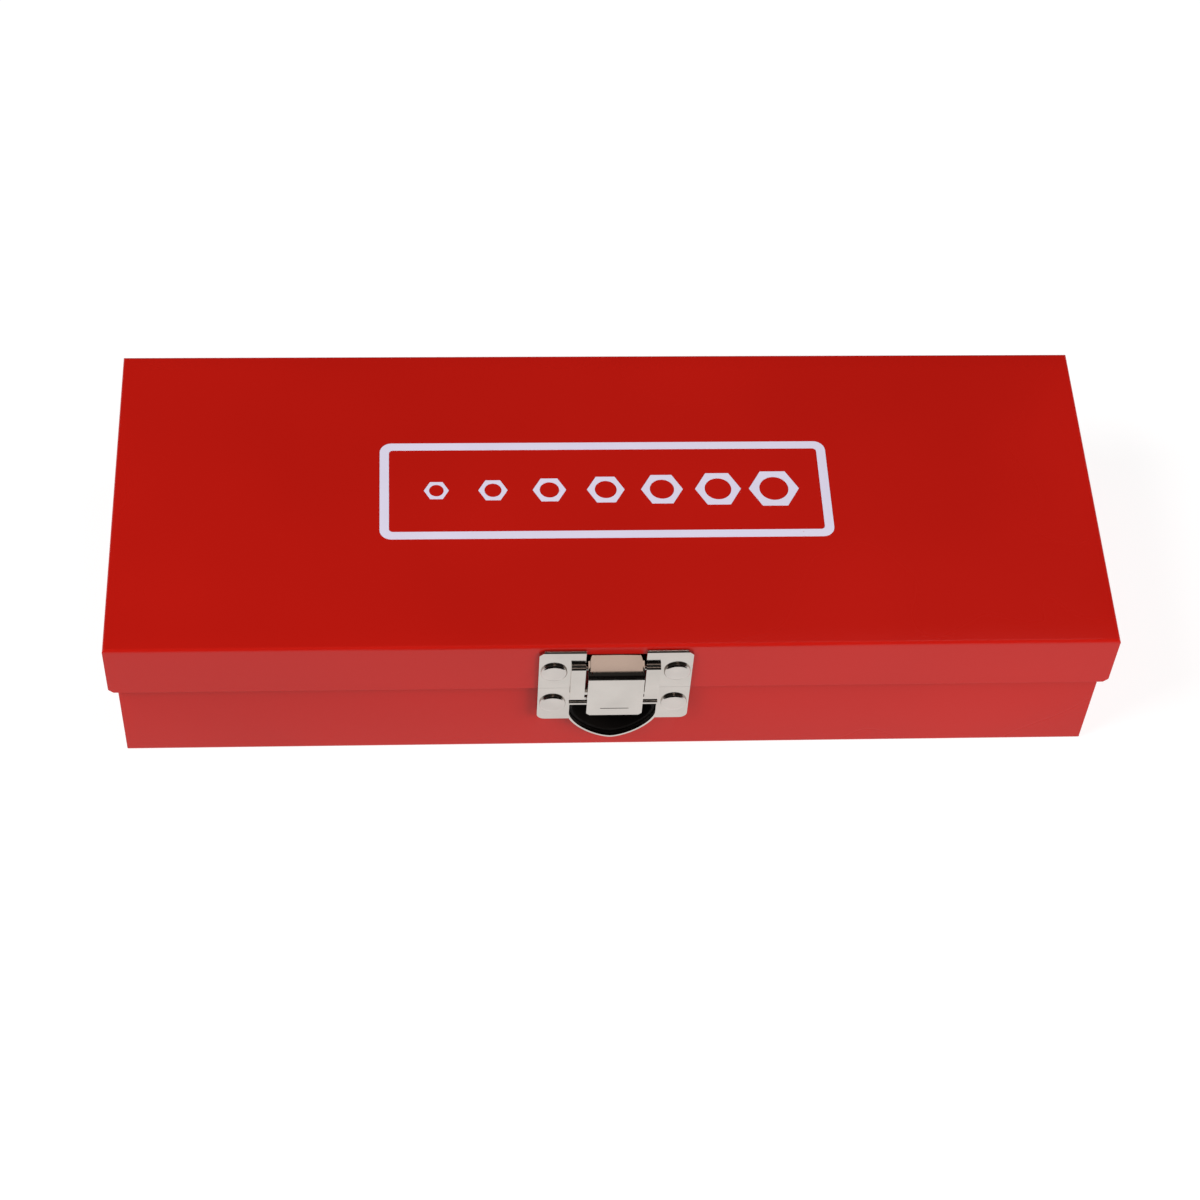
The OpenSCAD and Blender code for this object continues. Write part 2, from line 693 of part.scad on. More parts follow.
// Six-point socket, drive end down
module socket(size, od, length) {
  neck = min(od, drive_end_d);
  neck_h = 11;
  cone_h = max((od - neck) / 2, eps);
  hex_r = (size + hex_play) / 2 / cos(30);
  hex_deep = length - 14;
  chamfer = 0.8;
  color(chrome) difference() {
    union() {
      cylinder(d1 = neck - 2 * chamfer, d2 = neck, h = chamfer);
      translate([0, 0, chamfer]) cylinder(d = neck, h = neck_h - chamfer);
      translate([0, 0, neck_h]) cylinder(d1 = neck, d2 = od, h = cone_h);
      translate([0, 0, neck_h + cone_h]) cylinder(d = od, h = length - neck_h - cone_h - chamfer);
      translate([0, 0, length - chamfer]) cylinder(d1 = od, d2 = od - 2 * chamfer, h = chamfer);
    }
    drive_hole(12);
    cylinder(d = min(socket_hole, size) - 0.4, h = length);
    translate([0, 0, length - hex_deep]) rotate([0, 0, 30])
      cylinder(r = hex_r, h = hex_deep + over, $fn = 6);
    translate([0, 0, length - 0.7])
      cylinder(r1 = size / 2, r2 = min(hex_r + 0.6, od / 2 - 1), h = 0.7 + eps);
    // two grip grooves
    for (z = [5, 7.5]) translate([0, 0, z]) ring_cut(neck / 2, 0.35, 0.9);
  }
}

// Shallow groove round a cylinder of radius r
module ring_cut(r, depth, height) {
  difference() {
    cylinder(r = r + over, h = height);
    translate([0, 0, -over]) cylinder(r = r - depth, h = height + 2 * over);
  }
}

module tray_socket(i) {
  translate([socket_x(i), socket_y, socket_floor])
    socket(socket_sizes[i], socket_ods[i], socket_h);
}

// Lays a piece made along +Z down along +X, with its own +X turned up
module lay(x, y) { translate([x, y, rest_z]) rotate([0, 90, 0]) mirror([1, 0, 0]) children(); }

module spark_plug_socket() {
  hex_r = (16 + hex_play) / 2 / cos(30);
  hex_deep = spark_l - 16;
  color(chrome) lay(spark_x, spark_y) difference() {
    union() {
      cylinder(d1 = spark_d - 1.6, d2 = spark_d, h = 0.8);
      translate([0, 0, 0.8]) cylinder(d = spark_d, h = spark_l - 1.6);
      translate([0, 0, spark_l - 0.8]) cylinder(d1 = spark_d, d2 = spark_d - 1.6, h = 0.8);
    }
    drive_hole(12);
    cylinder(d = socket_hole - 0.4, h = spark_l);
    translate([0, 0, spark_l - hex_deep]) cylinder(r = hex_r, h = hex_deep + over, $fn = 6);
    translate([0, 0, 5]) ring_cut(spark_d / 2, 0.35, 0.9);
    translate([0, 0, 7.5]) ring_cut(spark_d / 2, 0.35, 0.9);
  }
}

// Rubber sleeve that holds the plug
module spark_plug_insert() {
  color(black) lay(spark_x, spark_y) translate([0, 0, 17]) difference() {
    cylinder(r = 7.9, h = 20);
    translate([0, 0, -over]) cylinder(r = 5.2, h = 22);
  }
}

// Male square along +Z from z = 0, with clipped tip and corners
module male_square(length) {
  intersection() {
    translate([-drive_sq / 2, -drive_sq / 2, 0]) cube([drive_sq, drive_sq, length]);
    cylinder(d = drive_sq * 1.32, h = length);
    cylinder(r1 = drive_sq * 0.56, r2 = drive_sq * 0.56 + length, h = length);
  }
}

// Place of the ball's middle, out from the axis
ball_x = drive_sq / 2 + ball_out - ball_r;

module extension(length) {
  shaft_end = length - ext_end_l - 4;
  color(chrome) difference() {
    union() {
      male_square(stub_l + 0.5);
      translate([0, 0, stub_l]) cylinder(d1 = drive_sq * 1.2, d2 = 13.4, h = 1.2);
      translate([0, 0, stub_l + 1.2]) cylinder(d = 13.4, h = 6);
      translate([0, 0, stub_l + 7.2]) cylinder(d1 = 13.4, d2 = ext_shaft_d, h = 2.4);
      translate([0, 0, stub_l + 9.6]) cylinder(d = ext_shaft_d, h = shaft_end - stub_l - 9.6);
      translate([0, 0, shaft_end]) cylinder(d1 = ext_shaft_d, d2 = ext_end_d, h = 4);
      translate([0, 0, shaft_end + 4]) cylinder(d = ext_end_d, h = ext_end_l - 0.8);
      translate([0, 0, length - 0.8]) cylinder(d1 = ext_end_d, d2 = ext_end_d - 1.6, h = 0.8);
    }
    translate([0, 0, length]) mirror([0, 0, 1]) drive_hole(12);
    translate([-3.2, 0, stub_l - ball_drop]) rotate([0, 90, 0])
      cylinder(r = ball_hole_r, h = 12);
    for (z = [length - 8, length - 11]) translate([0, 0, z]) ring_cut(ext_end_d / 2, 0.35, 0.9);
  }
}

module extension_ball() {
  color(chrome) translate([ball_x, 0, stub_l - ball_drop]) sphere(r = ball_r, $fn = 48);
}

module extension_spring() {
  length = ball_x - ball_r + 3;
  color("dimgray") translate([-2.95, 0, stub_l - ball_drop]) rotate([0, 90, 0])
    coil(1.2, 0.2, length - 0.3, 5);
}

// The long one lies with its male end to the right, the short one likewise
module lay_long() {
  translate([-tray_l / 2 + bar_inset + long_ext, bar_y, rest_z])
    mirror([1, 0, 0]) rotate([0, 90, 0]) mirror([1, 0, 0]) children();
}

module lay_short() {
  translate([tray_l / 2 - bar_inset, bar_y, rest_z])
    mirror([1, 0, 0]) rotate([0, 90, 0]) mirror([1, 0, 0]) children();
}

module extension_long() { lay_long() extension(long_ext); }
module extension_long_ball() { lay_long() extension_ball(); }
module extension_long_spring() { lay_long() extension_spring(); }
module extension_short() { lay_short() extension(short_ext); }
module extension_short_ball() { lay_short() extension_ball(); }
module extension_short_spring() { lay_short() extension_spring(); }

// ---------- ratchet: built with its drive axis at the origin and its handle along +X ----------

module at_ratchet() { translate([ratchet_x, ratchet_y, ratchet_z]) children(); }

// Gear outline; grow widens it for the cuts in the pawl
function gear_outline(grow) =
  let (pitch = 360 / gear_teeth, spread = grow * 5.5)
  [for (i = [0:gear_teeth - 1], k = [0:3])
    let (side = k < 2 ? -1 : 1,
         tip = k == 1 || k == 2,
         a = (i + 0.5) * pitch + side * (tip ? pitch * 0.12 : pitch * 0.38) + side * spread / 2,
         r = (tip ? gear_tip : gear_root) + grow)
    [r * cos(a), r * sin(a)]];

cover_r = 14.6;
cover_neck = 33;
cover_points = [[0, -13], [cover_neck, -5.6], [cover_neck, 5.6], [0, 13]];
screw_places = [[-12.8 * cos(55), 12.8 * sin(55)], [-12.8 * cos(55), -12.8 * sin(55)], [30.3, 0]];

module cover_outline(e) {
  union() {
    circle(r = cover_r + e);
    polygon([for (q = cover_points) [q[0] + (q[0] > 0 ? e : 0), q[1] + sign(q[1]) * e]]);
  }
}

module ratchet_body() {
  deck = head_h - cover_t;
  color(chrome) at_ratchet() difference() {
    union() {
      cylinder(r = head_r, h = head_h);
      linear_extrude(head_h) polygon([[4, -14.6], [34, -7], [34, 7], [4, 14.6]]);
      // handle: round neck, then a grooved grip
      translate([0, 0, handle_z]) rotate([0, 90, 0]) rotate_extrude() polygon(concat(
        [[0, 28], [5.6, 28], [5.2, 40], [5.2, 60], [grip_r, 66]],
        [for (i = [0:11]) each [
          [grip_r, 70 + 6 * i], [grip_r - 0.5, 70.7 + 6 * i],
          [grip_r - 0.5, 72.7 + 6 * i], [grip_r, 73.4 + 6 * i]]],
        [[grip_r, ratchet_reach - 4], [grip_r - 2.4, ratchet_reach - 0.6],
         [0, ratchet_reach]]));
    }
    translate([0, 0, deck]) linear_extrude(cover_t + over) cover_outline(0.1);
    translate([0, 0, gear_low - 0.2]) cylinder(r = 11, h = head_h);
    translate([0, 0, -over]) cylinder(r = 8.6 + running, h = head_h);
    translate([0, 0, gear_low - 0.2]) linear_extrude(head_h)
      polygon([[5, -9.6], [18.6, -8.2], [18.6, 8.2], [5, 9.6]]);
    translate([selector_x, 0, gear_low - 0.2]) cylinder(r = 4.6, h = head_h);
    translate([pawl_x, 0, 1]) cylinder(r = 1.5, h = 4);
    for (place = screw_places) translate([place[0], place[1], deck - 5]) cylinder(r = 0.95, h = 8);
  }
}

module ratchet_cover() {
  color(chrome) at_ratchet() difference() {
    translate([0, 0, head_h - cover_t]) linear_extrude(cover_t) cover_outline(0);
    translate([0, 0, head_h - cover_t - over]) cylinder(r = 7 + running, h = cover_t + 2 * over);
    translate([selector_x, 0, head_h - cover_t - over])
      cylinder(r = 3 + running, h = cover_t + 2 * over);
    for (place = screw_places) translate([place[0], place[1], head_h - cover_t - over]) {
      cylinder(r = 1, h = cover_t + 2 * over);
      translate([0, 0, 1 + over]) cylinder(r = 1.65, h = cover_t);
    }
  }
}

module ratchet_screws() {
  color(chrome) at_ratchet() for (place = screw_places) translate([place[0], place[1], 0])
    difference() {
      union() {
        translate([0, 0, head_h - 1]) cylinder(r = 1.6, h = 0.9);
        translate([0, 0, head_h - cover_t - 4.8]) cylinder(r = 0.92, h = cover_t + 4);
      }
      translate([-2, -0.22, head_h - 0.6]) cube([4, 0.44, 2]);
    }
}

module drive_gear() {
  color(chrome) at_ratchet() difference() {
    union() {
      translate([0, 0, gear_low]) linear_extrude(gear_high - gear_low) polygon(gear_outline(0));
      cylinder(r = 8.6, h = gear_low + eps);
      translate([0, 0, gear_high - eps]) cylinder(r = 7, h = head_h - 0.2 - gear_high);
      translate([0, 0, -stub_l]) male_square(stub_l + 0.1);
    }
    translate([0, 0, -9]) cylinder(r = stem_r + running, h = 30);
    translate([0, 0, 8.6]) cylinder(r = button_r + running, h = 10);
    translate([0, 0, -ball_drop]) rotate([0, 90, 0]) cylinder(r = ball_hole_r, h = 8);
  }
}

module drive_ball() {
  color(chrome) at_ratchet() translate([ball_x, 0, -ball_drop]) sphere(r = ball_r, $fn = 48);
}

// Push button with a waisted stem: pressed, the waist lets the ball drop in
module release_button() {
  waist_r = stem_r - 0.8;
  top = head_h + 1.6;
  color(chrome) at_ratchet() rotate_extrude() polygon([
    [0, -ball_drop - 0.7], [stem_r, -ball_drop - 0.7], [stem_r, -ball_drop + 0.1],
    [waist_r, -ball_drop + 0.9], [waist_r, -2.6], [stem_r, -1.8], [stem_r, 11.4],
    [button_r, 11.4], [button_r, top - 0.5], [button_r - 0.5, top], [0, top]]);
}

module release_spring() {
  color("dimgray") at_ratchet() translate([0, 0, 8.85]) coil(2.75, 0.22, 2.3, 3);
}

module selector_lever() {
  color(chrome) at_ratchet() translate([selector_x, 0, 0]) rotate([0, 0, -selector_turn])
    difference() {
      union() {
        translate([0, 0, gear_low]) cylinder(r = 3, h = head_h - gear_low + 0.3);
        translate([0, 0, head_h + 0.15]) cylinder(r = 5.2, h = 2.2);
        translate([0, 0, head_h + 0.15]) linear_extrude(2.2)
          polygon(concat([[0, -4.6]], arc(10.5, 0, 2.6, -70, 70, 8), [[0, 4.6]]));
      }
      translate([1.6, 0, (gear_low + gear_high) / 2]) rotate([0, -90, 0])
        cylinder(r = 1.05, h = 8);
    }
}

module selector_plunger() {
  color(chrome) at_ratchet() translate([selector_x, 0, (gear_low + gear_high) / 2])
    rotate([0, 0, -selector_turn]) rotate([0, -90, 0]) union() {
      translate([0, 0, 1.2]) cylinder(r = 1, h = 2);
      cylinder(r = plunger_r, h = plunger_reach);
      translate([0, 0, plunger_reach]) sphere(r = plunger_r, $fn = 32);
    }
}

module selector_spring() {
  color("dimgray") at_ratchet() translate([selector_x, 0, (gear_low + gear_high) / 2])
    rotate([0, 0, -selector_turn]) rotate([0, -90, 0]) translate([0, 0, -1.4])
      coil(0.8, 0.15, 2.3, 4);
}

// Rocking pawl: one end or the other meets the gear
module pawl() {
  thick = gear_high - gear_low - 0.4;
  back = 17;
  color(chrome) at_ratchet() translate([0, 0, gear_low + 0.2])
    translate([pawl_x, 0, 0]) rotate([0, 0, pawl_tilt]) translate([-pawl_x, 0, 0])
      difference() {
        linear_extrude(thick) polygon(concat(
          arc(0, 0, gear_tip + 0.18, -38, 38, 24),
          [[10.6, 8.3], [back, 3.6], [back, -3.6], [10.6, -8.3]]));
        for (side = [-1, 1]) translate([pawl_x, 0, -over]) rotate([0, 0, side * pawl_tilt])
          translate([-pawl_x, 0, 0]) linear_extrude(thick + 2 * over)
            polygon(gear_outline(0.12));
        translate([pawl_x, 0, -over]) cylinder(r = 1.5 + running, h = thick + 2 * over);
        translate([selector_x, 0, -over])
          cylinder(r = plunger_reach + plunger_r + 0.3, h = thick + 2 * over);
      }
}

module pawl_pin() {
  color(chrome) at_ratchet() translate([pawl_x, 0, 1])
    cylinder(r = 1.5, h = head_h - cover_t - 1);
}

// ---------- assembly ----------

case_body();
case_lid();
lid_graphic();
latch_lid_plate();
latch_body_plate();
latch_lever();
latch_pin();
latch_spring();
catch_spring();
finger_cup();
latch_lid_rivets();
latch_body_rivets();
hinge_lid_leaf(-hinge_x);  // hinge_lid_leaf_left
hinge_lid_leaf(hinge_x);  // hinge_lid_leaf_right
hinge_body_leaf(-hinge_x);  // hinge_body_leaf_left
hinge_body_leaf(hinge_x);  // hinge_body_leaf_right
hinge_pin(-hinge_x);  // hinge_pin_left
hinge_pin(hinge_x);  // hinge_pin_right
hinge_lid_rivets();
hinge_body_rivets();
tray();
for (i = [0:socket_count - 1])
  tray_socket(i);
spark_plug_socket();
spark_plug_insert();
extension_short();
extension_short_ball();
extension_short_spring();
extension_long();
extension_long_ball();
extension_long_spring();
ratchet_body();
ratchet_cover();
ratchet_screws();
drive_gear();
drive_ball();
release_button();
release_spring();
selector_lever();
selector_plunger();
selector_spring();
pawl();
pawl_pin();
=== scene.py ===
"""Looks of a socket wrench set in a folded sheet-metal case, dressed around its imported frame.

Sizes inside the classes are in millimetres in the frame's own axes: +X runs along the case,
+Y to the hinges and +Z up, from the middle of the underside. They turn into metres where a
mesh is made.
"""
import json
import logging
import math
from collections.abc import Callable, Iterable, Sequence
from dataclasses import dataclass
from enum import Enum

import bmesh
import bpy
from mathutils import Euler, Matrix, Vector

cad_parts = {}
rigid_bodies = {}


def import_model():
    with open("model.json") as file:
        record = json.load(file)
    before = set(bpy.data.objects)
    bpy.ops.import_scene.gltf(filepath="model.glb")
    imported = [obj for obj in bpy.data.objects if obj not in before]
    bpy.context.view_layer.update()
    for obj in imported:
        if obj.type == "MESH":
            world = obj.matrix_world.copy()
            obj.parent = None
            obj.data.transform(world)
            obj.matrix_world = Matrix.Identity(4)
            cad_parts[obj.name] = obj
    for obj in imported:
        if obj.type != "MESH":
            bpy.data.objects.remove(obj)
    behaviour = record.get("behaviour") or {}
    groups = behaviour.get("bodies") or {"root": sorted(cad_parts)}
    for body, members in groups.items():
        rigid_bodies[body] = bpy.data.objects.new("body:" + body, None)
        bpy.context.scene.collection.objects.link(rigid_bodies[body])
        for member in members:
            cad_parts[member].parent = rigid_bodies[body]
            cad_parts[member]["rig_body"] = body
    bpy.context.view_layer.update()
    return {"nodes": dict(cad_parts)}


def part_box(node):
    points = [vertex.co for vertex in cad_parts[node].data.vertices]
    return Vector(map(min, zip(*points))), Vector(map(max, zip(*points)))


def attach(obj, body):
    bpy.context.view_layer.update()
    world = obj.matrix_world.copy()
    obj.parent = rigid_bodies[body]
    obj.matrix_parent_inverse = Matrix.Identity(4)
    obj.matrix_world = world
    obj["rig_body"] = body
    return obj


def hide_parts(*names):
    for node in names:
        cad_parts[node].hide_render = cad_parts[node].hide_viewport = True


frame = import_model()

MM = 0.001
LOG = logging.getLogger("socket_set")
NOISE_LOW, NOISE_HIGH = 0.3, 0.7  # a noise texture mostly stays between these
WELD = 0.001  # points closer than this are one point, in millimetres
FLAT_TURN = 0.6  # faces that turn less than this are one flat face, in degrees

Colour = tuple[float, float, float]
Point2 = tuple[float, float]
Point3 = tuple[float, float, float]


# ---------- shader wiring ----------


class Wiring:
    """Adds nodes to one shader tree and joins them."""

    def __init__(self, tree: bpy.types.NodeTree) -> None:
        """Keeps the tree that every call adds to.

        Args:
            tree: the node tree of a material, world or group.
        """
        self.tree = tree

    def feed(self, socket: bpy.types.NodeSocket, value: object) -> None:
        """Links or sets one input.

        Args:
            socket: the input to fill.
            value: an output socket to link, or a plain value to set.
        """
        if isinstance(value, bpy.types.NodeSocket):
            self.tree.links.new(value, socket)
        else:
            socket.default_value = value

    def add(self, kind: str, inputs: dict[str | int, object] | None = None,
            **settings: object) -> bpy.types.Node:
        """Adds a node.

        Args:
            kind: the node's type name.
            inputs: values or output sockets for its inputs, by name or place.
            settings: the node's own settings.

        Returns:
            The new node.
        """
        made = self.tree.nodes.new(kind)
        for key, value in settings.items():
            setattr(made, key, value)
        for key, value in (inputs or {}).items():
            self.feed(made.inputs[key], value)
        return made

    def maths(self, operation: str, a: object, b: object = 0.0,
              clamp: bool = False) -> bpy.types.NodeSocket:
        """Adds one Math node.

        Args:
            operation: the node's operation, such as MULTIPLY.
            a: first value or socket.
            b: second value or socket.
            clamp: whether the result stays between 0 and 1.

        Returns:
            The node's output.
        """
        return self.add("ShaderNodeMath", {0: a, 1: b}, operation=operation, use_clamp=clamp).outputs[0]

    def ramp(self, value: object, low: float, high: float, out_low: float = 0.0,
             out_high: float = 1.0) -> bpy.types.NodeSocket:
        """Maps a value from one range to another and holds it there.

        Args:
            value: the socket to map.
            low: where the range starts.
            high: where the range ends.
            out_low: what low becomes.
            out_high: what high becomes.

        Returns:
            The mapped output.
        """
        names = {"Value": value, "From Min": low, "From Max": high, "To Min": out_low, "To Max": out_high}
        return self.add("ShaderNodeMapRange", names, clamp=True).outputs[0]

    def blend(self, factor: object, a: object, b: object) -> bpy.types.NodeSocket:
        """Mixes two colours.

        Args:
            factor: how much of b shows.
            a: colour at 0.
            b: colour at 1.

        Returns:
            The mixed colour.
        """
        mix = self.add("ShaderNodeMix", data_type="RGBA")
        for place, value in ((0, factor), (6, a), (7, b)):
            self.feed(mix.inputs[place], value)
        return mix.outputs[2]

    def here(self) -> bpy.types.NodeSocket:
        """The point's place in the piece's own axes, in metres."""
        return self.add("ShaderNodeTexCoord").outputs["Object"]


def rgba(colour: Colour) -> tuple[float, float, float, float]:
    """The colour with a full alpha."""
    return (*colour, 1.0)


def shaded(colour: Colour, share: float) -> Colour:
    """The colour multiplied by a share."""
    return tuple(c * share for c in colour)


class Effect(Enum):
    """Surface effects that several finishes share."""

    GRAIN = "fine_grain"
    WEAR = "edge_wear"
    BRUSH = "brushed_lines"
    SPECKS = "stray_specks"


class EffectShelf:
    """Builds each shared effect once, as a node group, and places it in materials."""

    def __init__(self) -> None:
        """Starts with no groups built."""
        self.recipes: dict[Effect, Callable[[], bpy.types.NodeTree]] = {
            Effect.GRAIN: self._grain,
            Effect.WEAR: self._wear,
            Effect.BRUSH: self._brush,
            Effect.SPECKS: self._specks,
        }
        self.built: dict[Effect, bpy.types.NodeTree] = {}

    def place(self, wiring: Wiring, effect: Effect, **inputs: object) -> bpy.types.Node:
        """Puts an effect's group into a material.

        Args:
            wiring: the material's wiring.
            effect: which effect.
            inputs: values for the group's inputs, with spaces written as _.

        Returns:
            The group node.
        """
        if effect not in self.built:
            self.built[effect] = self.recipes[effect]()
        named = {key.replace("_", " "): value for key, value in inputs.items()}
        node = wiring.tree.nodes.new("ShaderNodeGroup")
        node.node_tree = self.built[effect]
        for key, value in named.items():
            wiring.feed(node.inputs[key], value)
        return node

    @staticmethod
    def _start(effect: Effect, inputs: dict[str, float], outputs: Iterable[str]) -> tuple[Wiring,
            bpy.types.Node, bpy.types.Node]:
        """Makes an empty group with its sockets.

        Args:
            effect: the effect that names the group.
            inputs: its number inputs with their defaults.
            outputs: its number outputs.

        Returns:
            The group's wiring, its input node and its output node.
        """
        tree = bpy.data.node_groups.new(effect.value, "ShaderNodeTree")
        for name, value in inputs.items():
            tree.interface.new_socket(name=name, in_out="INPUT",
                                      socket_type="NodeSocketFloat").default_value = value
        for name in outputs:
            tree.interface.new_socket(name=name, in_out="OUTPUT", socket_type="NodeSocketFloat")
        wiring = Wiring(tree)
        return wiring, wiring.add("NodeGroupInput"), wiring.add("NodeGroupOutput")

    def _grain(self) -> bpy.types.NodeTree:
        """Fine bumps, and broad soft patches.

        Returns:
            The group, with Height and Patch outputs around 0.5.
        """
        w, given, out = self._start(Effect.GRAIN, {"Scale": 900.0, "Patch Scale": 30.0},
                                    ("Height", "Patch"))
        fine = w.add("ShaderNodeTexNoise", {"Vector": w.here(), "Scale": given.outputs["Scale"],
                                            "Detail": 3.0, "Roughness": 0.55})
        broad = w.add("ShaderNodeTexNoise", {"Vector": w.here(), "Scale": given.outputs["Patch Scale"],
                                             "Detail": 2.0})
        w.feed(out.inputs["Height"], fine.outputs[0])
        w.feed(out.inputs["Patch"], broad.outputs[0])
        return w.tree

    def _wear(self) -> bpy.types.NodeTree:
        """Where the surface turns sharply, broken up by noise.

        Returns:
            The group, with a Mask output from 0 to 1.
        """
        w, given, out = self._start(Effect.WEAR, {"Reach": 0.0004, "Break Scale": 260.0, "Amount": 0.5},
                                    ("Mask",))
        rounded = w.add("ShaderNodeBevel", {"Radius": given.outputs["Reach"]}, samples=3)
        face = w.add("ShaderNodeNewGeometry")
        turn = w.add("ShaderNodeVectorMath", {0: rounded.outputs[0], 1: face.outputs["True Normal"]},
                     operation="DOT_PRODUCT")
        edge = w.ramp(turn.outputs["Value"], 0.995, 0.86)
        broken = w.add("ShaderNodeTexNoise", {"Vector": w.here(), "Scale": given.outputs["Break Scale"],
                                              "Detail": 4.0})
        patches = w.ramp(broken.outputs[0], 0.42, 0.62)
        w.feed(out.inputs["Mask"], w.maths("MULTIPLY", w.maths("MULTIPLY", edge, patches),
                                           given.outputs["Amount"], True))
        return w.tree

    def _brush(self) -> bpy.types.NodeTree:
        """Long thin lines left along X by rolling and polishing.

        Returns:
            The group, with a Height output around 0.5.
        """
        w, given, out = self._start(Effect.BRUSH, {"Scale": 1800.0, "Stretch": 0.04}, ("Height",))
        squeeze = w.add("ShaderNodeCombineXYZ", {0: given.outputs["Stretch"], 1: 1.0, 2: 1.0})
        drawn = w.add("ShaderNodeVectorMath", {0: w.here(), 1: squeeze.outputs[0]}, operation="MULTIPLY")
        lines = w.add("ShaderNodeTexNoise", {"Vector": drawn.outputs[0], "Scale": given.outputs["Scale"],
                                             "Detail": 2.0})
        w.feed(out.inputs["Height"], lines.outputs[0])
        return w.tree

    def _specks(self) -> bpy.types.NodeTree:
        """A few tiny round specks, as dust leaves in paint and on plastic.

        Returns:
            The group, with a Mask output from 0 to 1.
        """
        w, given, out = self._start(Effect.SPECKS, {"Scale": 90.0, "Size": 0.02, "Rarity": 0.9}, ("Mask",))
        cells = w.add("ShaderNodeTexVoronoi", {"Vector": w.here(), "Scale": given.outputs["Scale"]})
        dot = w.maths("LESS_THAN", cells.outputs["Distance"], given.outputs["Size"])
        pick = w.add("ShaderNodeSeparateColor", {0: cells.outputs["Color"]})
        rare = w.maths("GREATER_THAN", pick.outputs[0], given.outputs["Rarity"])
        w.feed(out.inputs["Mask"], w.maths("MULTIPLY", dot, rare))
        return w.tree


EFFECTS = EffectShelf()


# ---------- finishes ----------


@dataclass(frozen=True)
class Finish:
    """One surface finish and the material slot that it stands for."""

    name: str
    slot: str
    colour: Colour
    roughness: float

    def material(self) -> bpy.types.Material:
        """The finish's material, made the first time that it is asked for."""
        known = bpy.data.materials.get(self.name)
        return known or self._make()

    def _make(self) -> bpy.types.Material:
        """Builds the material around one Principled shader.

        Returns:
            The new material.
        """
        made = bpy.data.materials.new(self.name)
        made.use_nodes = True
        made.node_tree.nodes.clear()
        w = Wiring(made.node_tree)
        shader = w.add("ShaderNodeBsdfPrincipled")
        out = w.add("ShaderNodeOutputMaterial", {"Surface": shader.outputs[0]})
        out.is_active_output = True
        self.wire(w, shader)
        made.diffuse_color = rgba(self.colour)
        return made

    def wire(self, w: Wiring, shader: bpy.types.Node) -> None:
        """Fills the shader's sockets.

        Args:
            w: the material's wiring.
            shader: its Principled shader.
        """
        raise NotImplementedError

    def patchy(self, w: Wiring, noise: object, low: float, high: float) -> bpy.types.NodeSocket:
        """The finish's colour, darker and lighter in patches.

        Args:
            w: the material's wiring.
            noise: the patches.
            low: the share of the colour that shows where the noise is low.
            high: the share that shows where it is high.

        Returns:
            The colour.
        """
        share = w.ramp(noise, NOISE_LOW, NOISE_HIGH)
        return w.blend(share, rgba(shaded(self.colour, low)), rgba(shaded(self.colour, high)))

    def roughen(self, w: Wiring, shader: bpy.types.Node, noise: object, less: float, more: float) -> None:
        """Varies the shader's roughness with a noise.

        Args:
            w: the material's wiring.
            shader: its Principled shader.
            noise: the noise.
            less: how far the roughness falls where the noise is low.
            more: how far it rises where the noise is high.
        """
        low, high = self.roughness - less, self.roughness + more
        w.feed(shader.inputs["Roughness"], w.ramp(noise, NOISE_LOW, NOISE_HIGH, low, high))

    def bump(self, w: Wiring, shader: bpy.types.Node, height: object, depth: float) -> None:
        """Adds a bump to the shader's normal.

        Args:
            w: the material's wiring.
            shader: its Principled shader.
            height: the height field, from 0 to 1.
            depth: how deep a full step is, in millimetres.
        """
        names = {"Height": height, "Distance": depth * MM, "Strength": 1.0}
        w.feed(shader.inputs["Normal"], w.add("ShaderNodeBump", names).outputs[0])


@dataclass(frozen=True)
class Enamel(Finish):
    """Sprayed and baked enamel on steel, with a light orange peel."""

    peel_depth: float = 0.012
    chip: Colour = (0.75, 0.42, 0.36)
    gloss_index: float = 1.27

    def wire(self, w: Wiring, shader: bpy.types.Node) -> None:
        """Fills the shader's sockets.

        Args:
            w: the material's wiring.
            shader: its Principled shader.
        """
        peel = EFFECTS.place(w, Effect.GRAIN, Scale=700.0, Patch_Scale=14.0)
        wear = EFFECTS.place(w, Effect.WEAR, Reach=0.2 * MM, Break_Scale=420.0, Amount=0.1)
        specks = EFFECTS.place(w, Effect.SPECKS, Scale=55.0, Size=0.006, Rarity=0.93)
        even = self.patchy(w, peel.outputs["Patch"], 0.95, 1.04)
        worn = w.blend(wear.outputs["Mask"], even, rgba(self.chip))
        dusty = w.blend(w.maths("MULTIPLY", specks.outputs["Mask"], 0.55), worn, rgba(self.chip))
        w.feed(shader.inputs["Base Color"], dusty)
        self.roughen(w, shader, peel.outputs["Patch"], 0.03, 0.04)
        shader.inputs["IOR"].default_value = self.gloss_index
        self.bump(w, shader, peel.outputs["Height"], self.peel_depth)


